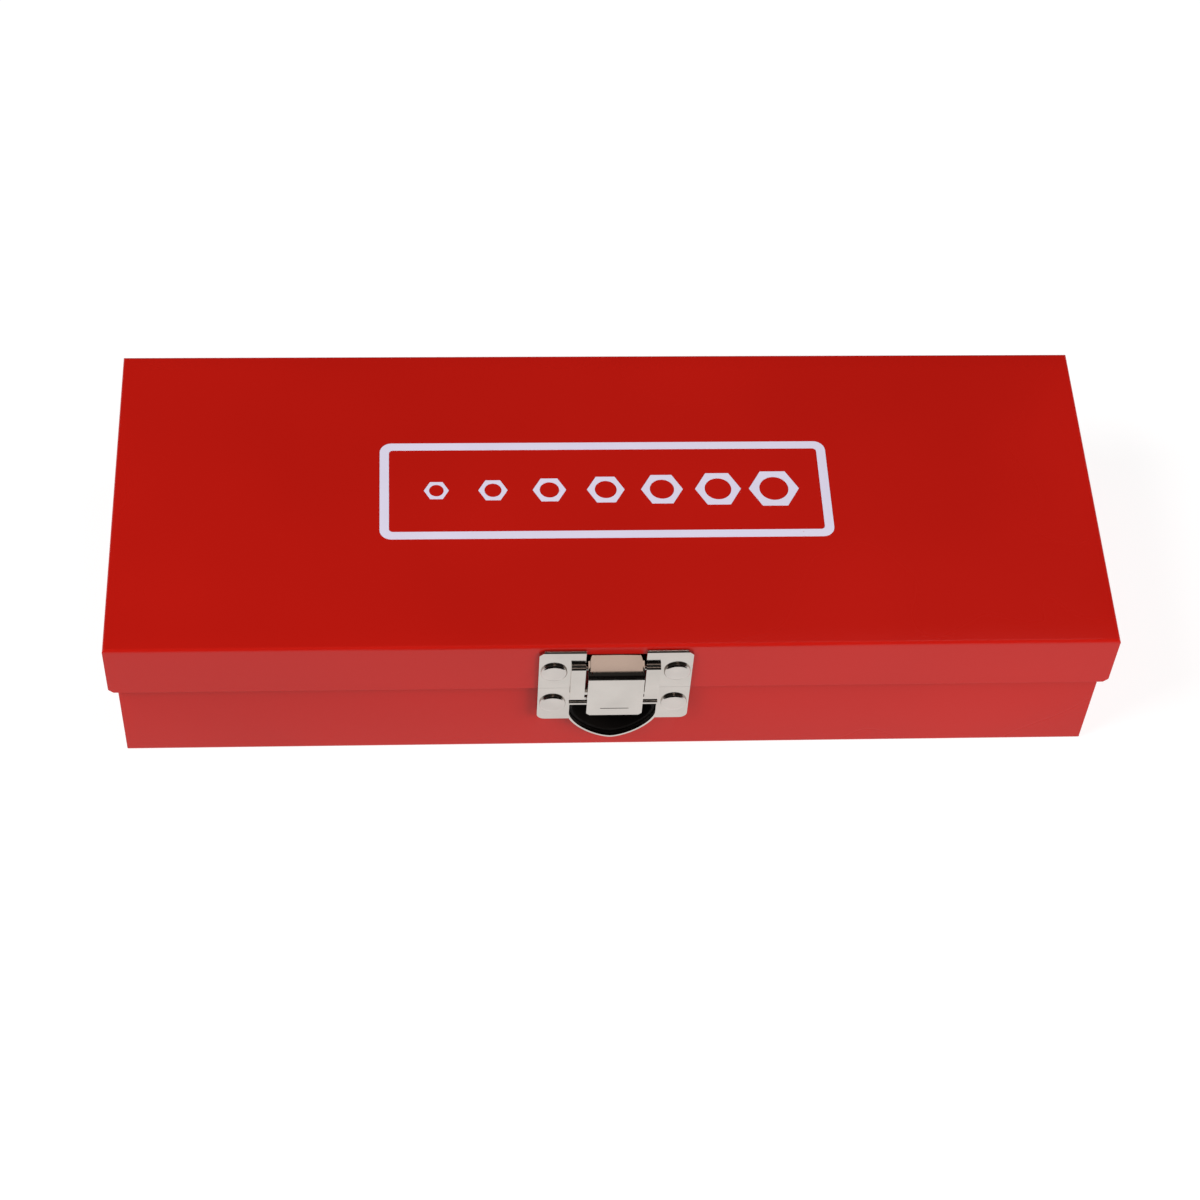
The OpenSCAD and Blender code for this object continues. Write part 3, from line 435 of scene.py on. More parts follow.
@dataclass(frozen=True)
class Print(Finish):
    """Screen-printed ink with small pinholes and slightly uneven cover."""

    under: Colour = (0.5, 0.2, 0.2)
    ink_depth: float = 0.006

    def wire(self, w: Wiring, shader: bpy.types.Node) -> None:
        """Fills the shader's sockets.

        Args:
            w: the material's wiring.
            shader: its Principled shader.
        """
        cover = EFFECTS.place(w, Effect.GRAIN, Scale=1600.0, Patch_Scale=60.0)
        holes = EFFECTS.place(w, Effect.SPECKS, Scale=240.0, Size=0.05, Rarity=0.93)
        even = self.patchy(w, cover.outputs["Patch"], 1.0, 0.96)
        pinholes = w.maths("MULTIPLY", holes.outputs["Mask"], 0.4)
        w.feed(shader.inputs["Base Color"], w.blend(pinholes, even, rgba(self.under)))
        self.roughen(w, shader, cover.outputs["Height"], 0.05, 0.08)
        self.bump(w, shader, cover.outputs["Height"], self.ink_depth)


@dataclass(frozen=True)
class Plated(Finish):
    """Plated or bare metal: clouds in the plating, rolling lines and rubbed edges."""

    cloud: float = 0.05
    line_depth: float = 0.0015
    grain_depth: float = 0.003
    rubbed: float = 0.25
    metal: float = 1.0

    def wire(self, w: Wiring, shader: bpy.types.Node) -> None:
        """Fills the shader's sockets.

        Args:
            w: the material's wiring.
            shader: its Principled shader.
        """
        grain = EFFECTS.place(w, Effect.GRAIN, Scale=500.0, Patch_Scale=120.0)
        lines = EFFECTS.place(w, Effect.BRUSH, Scale=2200.0, Stretch=0.05)
        wear = EFFECTS.place(w, Effect.WEAR, Reach=0.3 * MM, Break_Scale=700.0, Amount=self.rubbed)
        clouded = self.patchy(w, grain.outputs["Patch"], 1 - self.cloud, 1 + self.cloud)
        bright = tuple(min(1.0, c * 1.25) for c in self.colour)
        w.feed(shader.inputs["Base Color"], w.blend(wear.outputs["Mask"], clouded, rgba(bright)))
        shader.inputs["Metallic"].default_value = self.metal
        smooth, rough = self.roughness * 0.8, self.roughness * 1.3
        w.feed(shader.inputs["Roughness"], w.ramp(grain.outputs["Patch"], 0.25, 0.75, smooth, rough))
        drawn = w.maths("MULTIPLY", lines.outputs["Height"], self.line_depth / self.grain_depth)
        height = w.maths("ADD", drawn, grain.outputs["Height"])
        self.bump(w, shader, height, self.grain_depth)


@dataclass(frozen=True)
class Moulded(Finish):
    """Moulded plastic or rubber with a spark-eroded grain, scuffed paler at its edges."""

    grain: float = 2400.0
    shine: float = 0.5
    grain_depth: float = 0.03
    scuff: float = 0.3
    dust_colour: Colour = (0.16, 0.14, 0.12)

    def wire(self, w: Wiring, shader: bpy.types.Node) -> None:
        """Fills the shader's sockets.

        Args:
            w: the material's wiring.
            shader: its Principled shader.
        """
        skin = EFFECTS.place(w, Effect.GRAIN, Scale=self.grain, Patch_Scale=45.0)
        wear = EFFECTS.place(w, Effect.WEAR, Reach=0.5 * MM, Break_Scale=500.0, Amount=self.scuff)
        dust = EFFECTS.place(w, Effect.SPECKS, Scale=420.0, Size=0.16, Rarity=0.94)
        even = self.patchy(w, skin.outputs["Patch"], 0.8, 1.25)
        scuffed = w.blend(wear.outputs["Mask"], even, rgba(tuple(c * 2.2 + 0.015 for c in self.colour)))
        settled_dust = w.maths("MULTIPLY", dust.outputs["Mask"], 0.25)
        w.feed(shader.inputs["Base Color"], w.blend(settled_dust, scuffed, rgba(self.dust_colour)))
        self.roughen(w, shader, skin.outputs["Height"], 0.08, 0.1)
        shader.inputs["Specular IOR Level"].default_value = self.shine
        self.bump(w, shader, skin.outputs["Height"], self.grain_depth)


RED_ENAMEL = Enamel("red_enamel", "red_paint", (0.47, 0.0085, 0.0045), 0.26)
WHITE_INK = Print("white_ink", "white_print", (0.75, 0.705, 0.86), 0.4)
BRIGHT_NICKEL = Plated("bright_nickel", "nickel_plate", (0.525, 0.495, 0.462), 0.14)
RIVET_STEEL = Plated("rivet_steel", "steel_rivet", (0.53, 0.495, 0.465), 0.12, cloud=0.08)
ZINC = Plated("zinc_plate", "zinc_hinge", (0.52, 0.53, 0.52), 0.34, cloud=0.12, grain_depth=0.006,
              metal=0.7)
SPRING_WIRE = Plated("spring_wire", "spring_steel", (0.33, 0.32, 0.31), 0.3, cloud=0.15)
# The finger cup's near-black colour is painted dark reflection: it stands in for the dark room that the
# finger recess mirrors.
CUP_PAINTED_DARK = Moulded("cup_painted_dark", "black_cup", (0.006, 0.0048, 0.0042), 0.6, shine=0.12)
TRAY_PLASTIC = Moulded("tray_plastic", "black_tray", (0.016, 0.016, 0.018), 0.5, grain_depth=0.05)
SOCKET_CHROME = Plated("socket_chrome", "chrome_socket", (0.66, 0.665, 0.68), 0.1, cloud=0.04,
                       grain_depth=0.001, line_depth=0.0005, metal=0.68)
INSERT_RUBBER = Moulded("insert_rubber", "rubber_insert", (0.01, 0.01, 0.01), 0.75, scuff=0.15)
SATIN_CHROME = Plated("satin_chrome", "chrome_ratchet", (0.6, 0.605, 0.615), 0.24, cloud=0.06,
                      grain_depth=0.004, metal=0.68)
BALL_STEEL = Plated("ball_steel_polish", "ball_steel", (0.62, 0.62, 0.62), 0.08, grain_depth=0.001,
                    line_depth=0.0003, metal=0.6)
OXIDE = Plated("black_oxide", "dark_steel", (0.09, 0.09, 0.095), 0.36, cloud=0.25, rubbed=0.6, metal=0.6)


# ---------- mesh tools ----------


def add_object(name: str, mesh: bpy.types.Mesh) -> bpy.types.Object:
    """Puts a mesh into the scene.

    Args:
        name: the object's name.
        mesh: its mesh.

    Returns:
        The new object.
    """
    made = bpy.data.objects.new(name, mesh)
    bpy.context.scene.collection.objects.link(made)
    return made


def settled(obj: bpy.types.Object) -> bpy.types.Object:
    """Makes an object's modifiers final in its mesh.

    Args:
        obj: the object, with modifiers.

    Returns:
        The same object, with no modifiers left.
    """
    bpy.context.view_layer.update()
    graph = bpy.context.evaluated_depsgraph_get()
    mesh = bpy.data.meshes.new_from_object(obj.evaluated_get(graph))
    old = obj.data
    obj.modifiers.clear()
    obj.data = mesh
    mesh.name = obj.name
    if old.users == 0:
        bpy.data.meshes.remove(old)
    return obj


def mesh_from(name: str, points: Sequence[Point3], faces: Sequence[Sequence[int]]) -> bpy.types.Mesh:
    """Makes a mesh from points in millimetres.

    Args:
        name: the mesh's name.
        points: its points.
        faces: each face's points, by place.

    Returns:
        The mesh, in metres.
    """
    mesh = bpy.data.meshes.new(name)
    mesh.from_pydata([tuple(c * MM for c in p) for p in points], [], [tuple(f) for f in faces])
    mesh.validate()
    return mesh


def round_edges(obj: bpy.types.Object, width: float, steps: int = 2,
                angle: float = 30.0) -> bpy.types.Object:
    """Rounds every edge that turns more than an angle, and shades the rest smooth.

    Args:
        obj: the object.
        width: the rounding's width, in millimetres.
        steps: how many faces the rounding has.
        angle: the least turn that is rounded, in degrees.

    Returns:
        The same object, with the rounding in its mesh.
    """
    for face in obj.data.polygons:
        face.use_smooth = True
    bevel = obj.modifiers.new("round", "BEVEL")
    bevel.width = width * MM
    bevel.segments = steps
    bevel.limit_method = "ANGLE"
    bevel.angle_limit = math.radians(angle)
    bevel.miter_outer = "MITER_ARC"
    bevel.harden_normals = True
    return settled(obj)


def cut(obj: bpy.types.Object, cutters: Iterable[bpy.types.Object],
        how: str = "DIFFERENCE") -> bpy.types.Object:
    """Cuts closed shapes out of an object, or joins or crosses them with it, and removes them.

    Args:
        obj: the object to cut.
        cutters: the shapes.
        how: DIFFERENCE, UNION or INTERSECT.

    Returns:
        The same object.
    """
    for cutter in cutters:
        hole = obj.modifiers.new("cut", "BOOLEAN")
        hole.operation = how
        hole.solver = "EXACT"
        hole.object = cutter
        settled(obj)
        mesh = cutter.data
        bpy.data.objects.remove(cutter)
        bpy.data.meshes.remove(mesh)
    return obj


def prism(name: str, outline: Sequence[Point2], y0: float, y1: float) -> bpy.types.Object:
    """A closed shape with an outline in X and Z, from one Y to another.

    Args:
        name: the object's name.
        outline: its points, in millimetres.
        y0: where it starts.
        y1: where it ends.

    Returns:
        The new object.
    """
    n = len(outline)
    points = [(x, y, z) for y in (y0, y1) for x, z in outline]
    sides = [(i, (i + 1) % n, n + (i + 1) % n, n + i) for i in range(n)]
    obj = add_object(name, mesh_from(name, points, [*sides, range(n - 1, -1, -1), range(n, 2 * n)]))
    face_out(obj)
    return obj


def face_out(obj: bpy.types.Object) -> None:
    """Turns every face of a closed mesh outwards.

    Args:
        obj: the object with the mesh.
    """
    bm = bmesh.new()
    bm.from_mesh(obj.data)
    bmesh.ops.recalc_face_normals(bm, faces=bm.faces)
    bm.to_mesh(obj.data)
    bm.free()


def joined(name: str, parts: Sequence[bpy.types.Object]) -> bpy.types.Object:
    """Puts several separate solids into one object.

    Args:
        name: the new object's name.
        parts: the objects, which are removed.

    Returns:
        The new object.
    """
    bm = bmesh.new()
    for part in parts:
        bm.from_mesh(part.data)
        mesh = part.data
        bpy.data.objects.remove(part)
        bpy.data.meshes.remove(mesh)
    mesh = bpy.data.meshes.new(name)
    bm.to_mesh(mesh)
    bm.free()
    return add_object(name, mesh)


def disc(x: float, z: float, radius: float, steps: int = 32) -> list[Point2]:
    """Points round a circle in X and Z."""
    turns = [math.tau * i / steps for i in range(steps)]
    return [(x + radius * math.cos(a), z + radius * math.sin(a)) for a in turns]


def softened(node: str, name: str, width: float, steps: int = 2) -> bpy.types.Object:
    """A copy of a CAD node's shape with its flat faces joined and its edges rounded.

    Args:
        node: the CAD node.
        name: the new object's name.
        width: the rounding's width, in millimetres.
        steps: how many faces the rounding has.

    Returns:
        The new object.
    """
    bm = bmesh.new()
    bm.from_mesh(frame["nodes"][node].data)
    bmesh.ops.remove_doubles(bm, verts=bm.verts, dist=WELD * MM)
    bmesh.ops.dissolve_limit(bm, angle_limit=math.radians(FLAT_TURN), verts=bm.verts, edges=bm.edges,
                             delimit={"MATERIAL"})
    flat = [face for face in bm.faces if len(face.verts) > 4]
    bmesh.ops.triangulate(bm, faces=flat, quad_method="BEAUTY", ngon_method="BEAUTY")
    mesh = bpy.data.meshes.new(name)
    bm.to_mesh(mesh)
    bm.free()
    for layer in ("custom_normal", "sharp_edge", "sharp_face"):
        if layer in mesh.attributes:
            mesh.attributes.remove(mesh.attributes[layer])
    return round_edges(add_object(name, mesh), width, steps)


def dress(obj: bpy.types.Object, finish: Finish, body: str, nodes: Sequence[str] = ()) -> bpy.types.Object:
    """Gives a piece its finish and its body, and hides the CAD nodes that it stands for.

    Args:
        obj: the piece, in place.
        finish: its finish.
        body: the CAD body that it rides on.
        nodes: the CAD nodes that it stands for.

    Returns:
        The same piece.
    """
    obj.data.materials.clear()
    obj.data.materials.append(finish.material())
    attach(obj, body)
    if nodes:
        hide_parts(*nodes)
    LOG.info("%s rides on %s in %s", obj.name, body, finish.name)
    return obj


def body_of(node: str) -> str:
    """The CAD body that a node belongs to."""
    return frame["nodes"][node]["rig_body"]


def corners(node: str) -> tuple[Vector, Vector]:
    """A node's lowest and highest corners, in millimetres."""
    low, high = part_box(node)
    return low / MM, high / MM


# ---------- the case ----------


@dataclass
class FoldedBox:
    """A shallow box folded up from one sheet, with an open seam down each corner."""

    length: float
    width: float
    depth: float
    base_z: float
    opens_up: bool
    sheet: float = 0.8
    fold: float = 0.9
    seam: float = 0.16
    clip: float = 0.0
    rim_inset: float = 0.0
    rim_from: float = 0.0
    rim_slope: float = 2.0

    def profile(self) -> list[Point2]:
        """The wall's outer line, as (out from the flat panel, depth below it).

        Returns:
            The points, from the panel to the wall's free edge.
        """
        steps = 8
        turn = [math.pi / 2 * i / steps for i in range(steps + 1)]
        line = [(self.fold * math.sin(a), self.fold * (1 - math.cos(a))) for a in turn]
        line.append((self.fold, self.fold + 0.6))
        if self.rim_inset:
            line += [(self.fold, self.rim_from - 0.4), (self.fold - 0.06, self.rim_from),
                     (self.fold - self.rim_inset / 2, self.rim_from + self.rim_slope / 2),
                     (self.fold - self.rim_inset + 0.06, self.rim_from + self.rim_slope),
                     (self.fold - self.rim_inset, self.rim_from + self.rim_slope + 0.4)]
        last = line[-1][0]
        line += [(last, self.depth - max(self.clip, 0.8)), (last, self.depth)]
        return line

    def reach(self, half: float, out: float, deep: float) -> float:
        """Half the wall's length at one height.

        Args:
            half: half of the box's outside length on that side.
            out: how far out from the panel's flat part the wall is there.
            deep: how far below the panel it is.

        Returns:
            The distance from the middle to the wall's side edge.
        """
        gap = self.seam / 2 if deep > self.fold + 0.3 else 0.0
        clipped = max(0.0, deep - (self.depth - self.clip))
        return half - self.fold + out - gap - clipped

    def build(self, name: str) -> bpy.types.Object:
        """Makes the folded sheet.

        Args:
            name: the object's name.

        Returns:
            The box, with its sheet's thickness.
        """
        half_l, half_w = self.length / 2, self.width / 2
        along, across = 48, 20
        up = 1 if self.opens_up else -1
        bm = bmesh.new()

        def vertex(x: float, y: float, deep: float) -> bmesh.types.BMVert:
            """A point of the sheet at a depth from its flat panel."""
            return bm.verts.new(Vector((x, y, self.base_z + up * deep)) * MM)

        def fill(rows: list[list[bmesh.types.BMVert]], outward: Vector) -> None:
            """Fills between rows of points.

            Args:
                rows: the rows, each with the same number of points.
                outward: the side that the faces look to.
            """
            for upper, lower in zip(rows, rows[1:]):
                for i in range(len(upper) - 1):
                    face = bm.faces.new((upper[i], upper[i + 1], lower[i + 1], lower[i]))
                    face.normal_update()
                    if face.normal.dot(outward) < 0:
                        face.normal_flip()

        flat_l, flat_w = half_l - self.fold, half_w - self.fold
        lengths = [2 * i / along - 1 for i in range(along + 1)]
        widths = [2 * i / across - 1 for i in range(across + 1)]
        panel = [[vertex(flat_l * u, flat_w * v, 0) for u in lengths] for v in widths]
        fill(panel, Vector((0, 0, -up)))
        for sign in (-1, 1):
            lengthwise = [[vertex(self.reach(half_l, o, d) * u, sign * (flat_w + o), d) for u in lengths]
                          for o, d in self.profile()]
            fill(lengthwise, Vector((0, sign, -up * 0.5)))
            endwise = [[vertex(sign * (flat_l + o), self.reach(half_w, o, d) * v, d) for v in widths]
                       for o, d in self.profile()]
            fill(endwise, Vector((sign, 0, -up * 0.5)))
        bmesh.ops.remove_doubles(bm, verts=bm.verts, dist=0.004 * MM)
        mesh = bpy.data.meshes.new(name)
        bm.to_mesh(mesh)
        bm.free()
        box = add_object(name, mesh)
        thick = box.modifiers.new("sheet", "SOLIDIFY")
        thick.thickness = self.sheet * MM
        thick.offset = -1.0
        thick.use_even_offset = True
        return settled(box)


@dataclass
class SheetCase:
    """The painted lid and body, with the openings that the latch needs."""

    sheet: float = 0.8
    lid_clip: float = 1.2
    rim_inset: float = 1.2
    rim_from: float = 34.5
    edge_round: float = 0.12
    edge_turn: float = 35.0

    def opened(self, box: bpy.types.Object, holes: list[bpy.types.Object]) -> bpy.types.Object:
        """Cuts a folded sheet's holes and rounds its edges."""
        return round_edges(cut(box, holes), self.edge_round, 2, self.edge_turn)

    def lid(self) -> bpy.types.Object:
        """The lid, folded down on all four sides.

        Returns:
            The dressed piece.
        """
        latch = FrontLatch()
        low, high = corners("case_lid")
        size = high - low
        box = FoldedBox(size.x, size.y, size.z, high.z, False, clip=self.lid_clip)
        back = -self.sheet - 1
        window = latch.block(-latch.slot_half, latch.slot_half, latch.window_foot, latch.window_top, back,
                             1)
        lid = self.opened(box.build("lid_sheet"), [window, *latch.holes(latch.lid_rivet_z, back)])
        return dress(lid, RED_ENAMEL, "lid", ["case_lid"])

    def body(self) -> bpy.types.Object:
        """The body, folded up on all four sides, with its rim set in under the lid.

        Returns:
            The dressed piece.
        """
        latch = FrontLatch()
        low, high = corners("case_body")
        size = high - low
        box = FoldedBox(size.x, size.y, size.z, low.z, True, rim_inset=self.rim_inset,
                        rim_from=self.rim_from)
        front, back = latch.body_face + 1, latch.body_face - self.sheet - 1
        half = latch.slot_half + latch.notch_spare
        holes = [latch.slab(latch.finger_line(0.1), back, front),
                 latch.block(-half, half, latch.notch_foot, 1, back - 1, front),
                 *latch.holes(latch.body_rivet_z, back)]
        body = self.opened(box.build("body_sheet"), holes)
        return dress(body, RED_ENAMEL, "case_base", ["case_body"])

    def graphic(self) -> bpy.types.Object:
        """The printed border and hexagons on the lid."""
        return dress(softened("lid_graphic", "lid_print", 0.03, 1), WHITE_INK, "lid", ["lid_graphic"])


# ---------- the front latch ----------


def swept(name: str, outline: Sequence[Point2], x0: float, x1: float) -> bpy.types.Object:
    """A closed shape with an outline in Y and Z, from one X to another.

    Args:
        name: the object's name.
        outline: its points, in millimetres.
        x0: where it starts.
        x1: where it ends.

    Returns:
        The new object.
    """
    n = len(outline)
    points = [(x, y, z) for x in (x0, x1) for y, z in outline]
    sides = [(i, (i + 1) % n, n + (i + 1) % n, n + i) for i in range(n)]
    obj = add_object(name, mesh_from(name, points, [*sides, range(n - 1, -1, -1), range(n, 2 * n)]))
    face_out(obj)
    return obj


def lathed(name: str, profile: Sequence[Point2], centre: Point3, axis: Point3,
           steps: int = 48) -> bpy.types.Object:
    """A closed shape turned round an axis.

    Args:
        name: the object's name.
        profile: points as (radius, height), from the axis to the axis.
        centre: where the axis starts, in millimetres.
        axis: the axis's direction.
        steps: how many faces go round.

    Returns:
        The new object.
    """
    turn = Vector((0, 0, 1)).rotation_difference(Vector(axis)).to_matrix()
    points = []
    for radius, height in profile:
        for i in range(steps):
            a = math.tau * i / steps
            place = turn @ Vector((radius * math.cos(a), radius * math.sin(a), height)) + Vector(centre)
            points.append(tuple(place))
    faces = [(r * steps + i, r * steps + (i + 1) % steps, (r + 1) * steps + (i + 1) % steps,
              (r + 1) * steps + i)
             for r in range(len(profile) - 1) for i in range(steps)]
    mesh = mesh_from(name, points, faces)
    bm = bmesh.new()
    bm.from_mesh(mesh)
    bmesh.ops.remove_doubles(bm, verts=bm.verts, dist=WELD * MM)
    bmesh.ops.recalc_face_normals(bm, faces=bm.faces)
    bm.to_mesh(mesh)
    bm.free()
    return add_object(name, mesh)


def arc(centre: Point2, radius: float, start: float, stop: float, steps: int = 8) -> list[Point2]:
    """Points along an arc.

    Args:
        centre: the arc's middle.
        radius: its radius.
        start: its first angle, in degrees.
        stop: its last angle.
        steps: how many pieces it has.

    Returns:
        The points.
    """
    angles = [math.radians(start + (stop - start) * i / steps) for i in range(steps + 1)]
    return [(centre[0] + radius * math.cos(a), centre[1] + radius * math.sin(a)) for a in angles]


@dataclass
class FrontLatch:
    """The two plates, the lever, its pin and springs, the finger cup and the rivets.

    Sizes along p run outwards from the lid's front, and sizes along z down from its top.
    """

    lid_top: float = 46.0
    front: float = -48.0
    body_face: float = -1.3
    plate_w: float = 38.6
    plate_t: float = 0.8
    plate_top: float = -1.6
    seam: float = -16.9
    seam_gap: float = 0.04
    lap_top: float = -18.3
    foot: float = -30.7
    foot_corner: float = 2.0
    plate_round: float = 0.09
    top_round: float = 0.5
    corner_cut: float = 1.4
    raise_p: float = 2.4
    bridge_half: float = 11.2
    bridge_side: float = 0.8
    bridge_top: float = -5.7
    bridge_foot: float = -20.2
    bridge_round: float = 0.3
    ledge_tilt: float = 14.0
    ledge_bend: float = 0.7
    window_top: float = -3.4
    window_foot: float = -10.6
    notch_foot: float = -13.0
    notch_spare: float = 2.0
    slot_half: float = 7.6
    slot_foot: float = -18.9
    hollow_top: float = -9.7
    pin_p: float = 0.8
    pin_z: float = -8.0
    pin_r: float = 0.75
    lever_half: float = 7.05
    lever_out: float = 4.8
    lever_t: float = 0.9
    bend_r: float = 2.6
    bend_z: float = -8.5
    tongue_slope: float = 28.0
    tongue_back: float = -0.62
    lever_foot: float = -23.4
    nose_z: float = -20.5
    nose_half: float = 3.4
    nose_tip: float = -0.7
    nose_play: float = 0.6
    slit_half: float = 3.6
    slit_deep: float = 0.35
    relief_r: float = 0.4
    relief_inset: float = 0.62
    relief_turn: float = 52.0
    lever_round: float = 0.16
    rivet_x: float = 15.5
    lid_rivet_z: float = -9.7
    body_rivet_z: float = -23.4
    rivet_d: float = 6.7
    rivet_h: float = 0.85
    rivet_edge: float = 0.4
    rivet_power: float = 0.33
    shank_r: float = 1.6
    hole_a: float = 11.1
    hole_b: float = 10.6
    hole_top: float = -23.7
    hole_chord: float = -28.3
    hole_power: float = 1.6
    hole_rim: float = 0.6
    lip_tall: float = 0.9
    lip_out: float = 0.55
    lip_round: float = 0.4

    def yz(self, line: Iterable[Point2]) -> list[Point2]:
        """Turns points in p and z into points in the frame's Y and Z."""
        return [(self.front - p, self.lid_top + z) for p, z in line]

    def along(self, line: Iterable[Point2], x0: float, x1: float) -> bpy.types.Object:
        """A section in p and z, swept from x0 to x1."""
        return swept("latch_part", self.yz(line), x0, x1)

    def slab(self, outline: Iterable[Point2], p0: float, p1: float) -> bpy.types.Object:
        """An outline in x and z, from depth p0 to p1."""
        return prism("latch_part", [(x, self.lid_top + z) for x, z in outline], self.front - p1,
                     self.front - p0)

    def block(self, x0: float, x1: float, z0: float, z1: float, p0: float, p1: float) -> bpy.types.Object:
        """A straight block between two corners."""
        return self.slab([(x0, z0), (x1, z0), (x1, z1), (x0, z1)], p0, p1)

    def finger_line(self, grow: float) -> list[Point2]:
        """The finger hole's outline.

        Args:
            grow: how far outside the hole's own edge it runs.

        Returns:
            Points in x and z.
        """
        a, b, n, steps = self.hole_a + grow, self.hole_b + grow, 2 / self.hole_power, 36
        line = [(-a, self.hole_top + grow), (a, self.hole_top + grow)]
        for i in range(steps + 1):
            t = math.pi * i / steps
            across = abs(math.cos(t)) ** n * (1 if math.cos(t) > 0 else -1)
            line.append((a * across, self.hole_chord - b * math.sin(t) ** n))
        return line

    def ledge(self) -> list[Point2]:
        """The bridge's upper step: out from the plate through two bends.

        Returns:
            Points in p and z, from the plate to the bridge's face.
        """
        turn, bend, steps = math.radians(90 - self.ledge_tilt), self.ledge_bend, 8
        out_by_bends = 2 * bend * (1 - math.cos(turn))
        straight = (self.raise_p - self.plate_t - out_by_bends) / math.sin(turn)
        line = []
        for i in range(steps + 1):
            a = turn * i / steps
            line.append((self.plate_t + bend * (1 - math.cos(a)), self.bridge_top - bend * math.sin(a)))
        p, z = line[-1]
        p, z = p + straight * math.sin(turn), z - straight * math.cos(turn)
        for i in range(steps, -1, -1):
            a = turn * i / steps
            line.append((p + bend * (math.cos(a) - math.cos(turn)),
                         z - bend * (math.sin(turn) - math.sin(a))))
        return line

    def holes(self, z: float, p0: float) -> list[bpy.types.Object]:
        """Cutters for a plate's two rivet holes.

        Args:
            z: their height.
            p0: where they start.

        Returns:
            The cutters.
        """
        return [self.slab(disc(side * self.rivet_x, z, self.shank_r), p0, self.plate_t + 1)
                for side in (-1, 1)]

    def pin_bore(self, grow: float, half: float) -> bpy.types.Object:
        """A rod on the pin's line, to cut its bore.

        Args:
            grow: how far outside the pin's own surface it reaches.
            half: half of its length.

        Returns:
            The rod.
        """
        r, centre = self.pin_r + grow, (0, self.front - self.pin_p, self.lid_top + self.pin_z)
        return lathed("latch_part", [(0, -half), (r, -half), (r, half), (0, half)], centre, (1, 0, 0), 32)

    def lid_plate(self) -> bpy.types.Object:
        """The lid's plate, with a raised bridge across it and a slot for the lever.

        Returns:
            The dressed piece.
        """
        half, t, top, r = self.plate_w / 2, self.plate_t, self.plate_top, self.top_round
        wings = self.along([(0, self.seam), (t, self.seam), *arc((t - r, top - r), r, 0, 90), (0, top)],
                           -half, half)
        face, low, edge = self.raise_p, self.bridge_foot, self.bridge_round
        section = [(0, self.bridge_top), *self.ledge(), (face, low + edge), (face - edge, low),
                   (face - t, low),
                   (face - t, self.seam), (0, self.seam)]
        bridge = self.along(section, -self.bridge_half, self.bridge_half)
        plate = cut(wings, [bridge], "UNION")
        cuts = [self.block(-self.slot_half, self.slot_half, self.slot_foot, top + 1, -1, face + 1)]
        inner = self.bridge_half - self.bridge_side
        cuts.append(self.block(-inner, inner, self.seam - 1, self.hollow_top, -1, face - t))
        clip = self.corner_cut
        corner = [(half, top - clip), (half - clip, top), (half, top + 1), (half + 1, top + 1),
                  (half + 1, top - clip)]
        cuts += [self.slab([(side * x, z) for x, z in corner], -1, t + 1) for side in (-1, 1)]
        cuts.append(self.pin_bore(0, inner))
        cuts += self.holes(self.lid_rivet_z, -1)
        plate = cut(plate, cuts)
        plate.name = "lid_catch_plate"
        return dress(round_edges(plate, self.plate_round), BRIGHT_NICKEL, "lid", ["latch_lid_plate"])

    def body_plate(self) -> bpy.types.Object:
        """The body's plate: a shallow pan with a rim and a lip round the finger hole.

        Returns:
            The dressed piece.
        """
        half, t, corner = self.plate_w / 2, self.plate_t, self.foot_corner
        top, low = self.seam - self.seam_gap, self.foot
        back = self.body_face

        def outline(inset: float, top_z: float) -> list[Point2]:
            """The pan's outline.

            Args:
                inset: how far inside the plate's edge it runs.
                top_z: where it ends at the top.

            Returns:
                Points in x and z.
            """
            r, z = corner - inset, low + corner
            left, right = arc((-half + corner, z), r, 180, 270, 6), arc((half - corner, z), r, 270, 360, 6)
            return [*left, *right, (half - inset, top_z), (-half + inset, top_z)]

        plate = cut(self.slab(outline(0, top), back, t), [self.slab(outline(t, top + 1), back - 1, 0)])
        rim = self.slab(self.finger_line(self.hole_rim), back, t)
        lip_z = self.hole_top + self.lip_tall
        reach, r = self.hole_a + 0.2, self.lip_round
        out, root = t + self.lip_out, t - 0.3
        section = [(root, self.hole_top), (out, self.hole_top), *arc((out - r, lip_z - r), r, 0, 90, 5),
                   (root, lip_z)]
        lip = self.along(section, -reach, reach)
        plate = cut(cut(plate, [rim], "UNION"), [lip], "UNION")
        nose = self.nose_half + self.nose_play
        cuts = [self.slab(self.finger_line(0), back - 1, out + 1),
                self.block(-self.plate_w, self.plate_w, self.lap_top, 0, back - 1, 0),
                self.block(-nose, nose, self.nose_z - 2, 0, back - 1, out + 1)]
        plate = cut(plate, cuts + self.holes(self.body_rivet_z, back - 1))
        plate.name = "body_catch_plate"
        return dress(round_edges(plate, self.plate_round), BRIGHT_NICKEL, "case_base", ["latch_body_plate"])

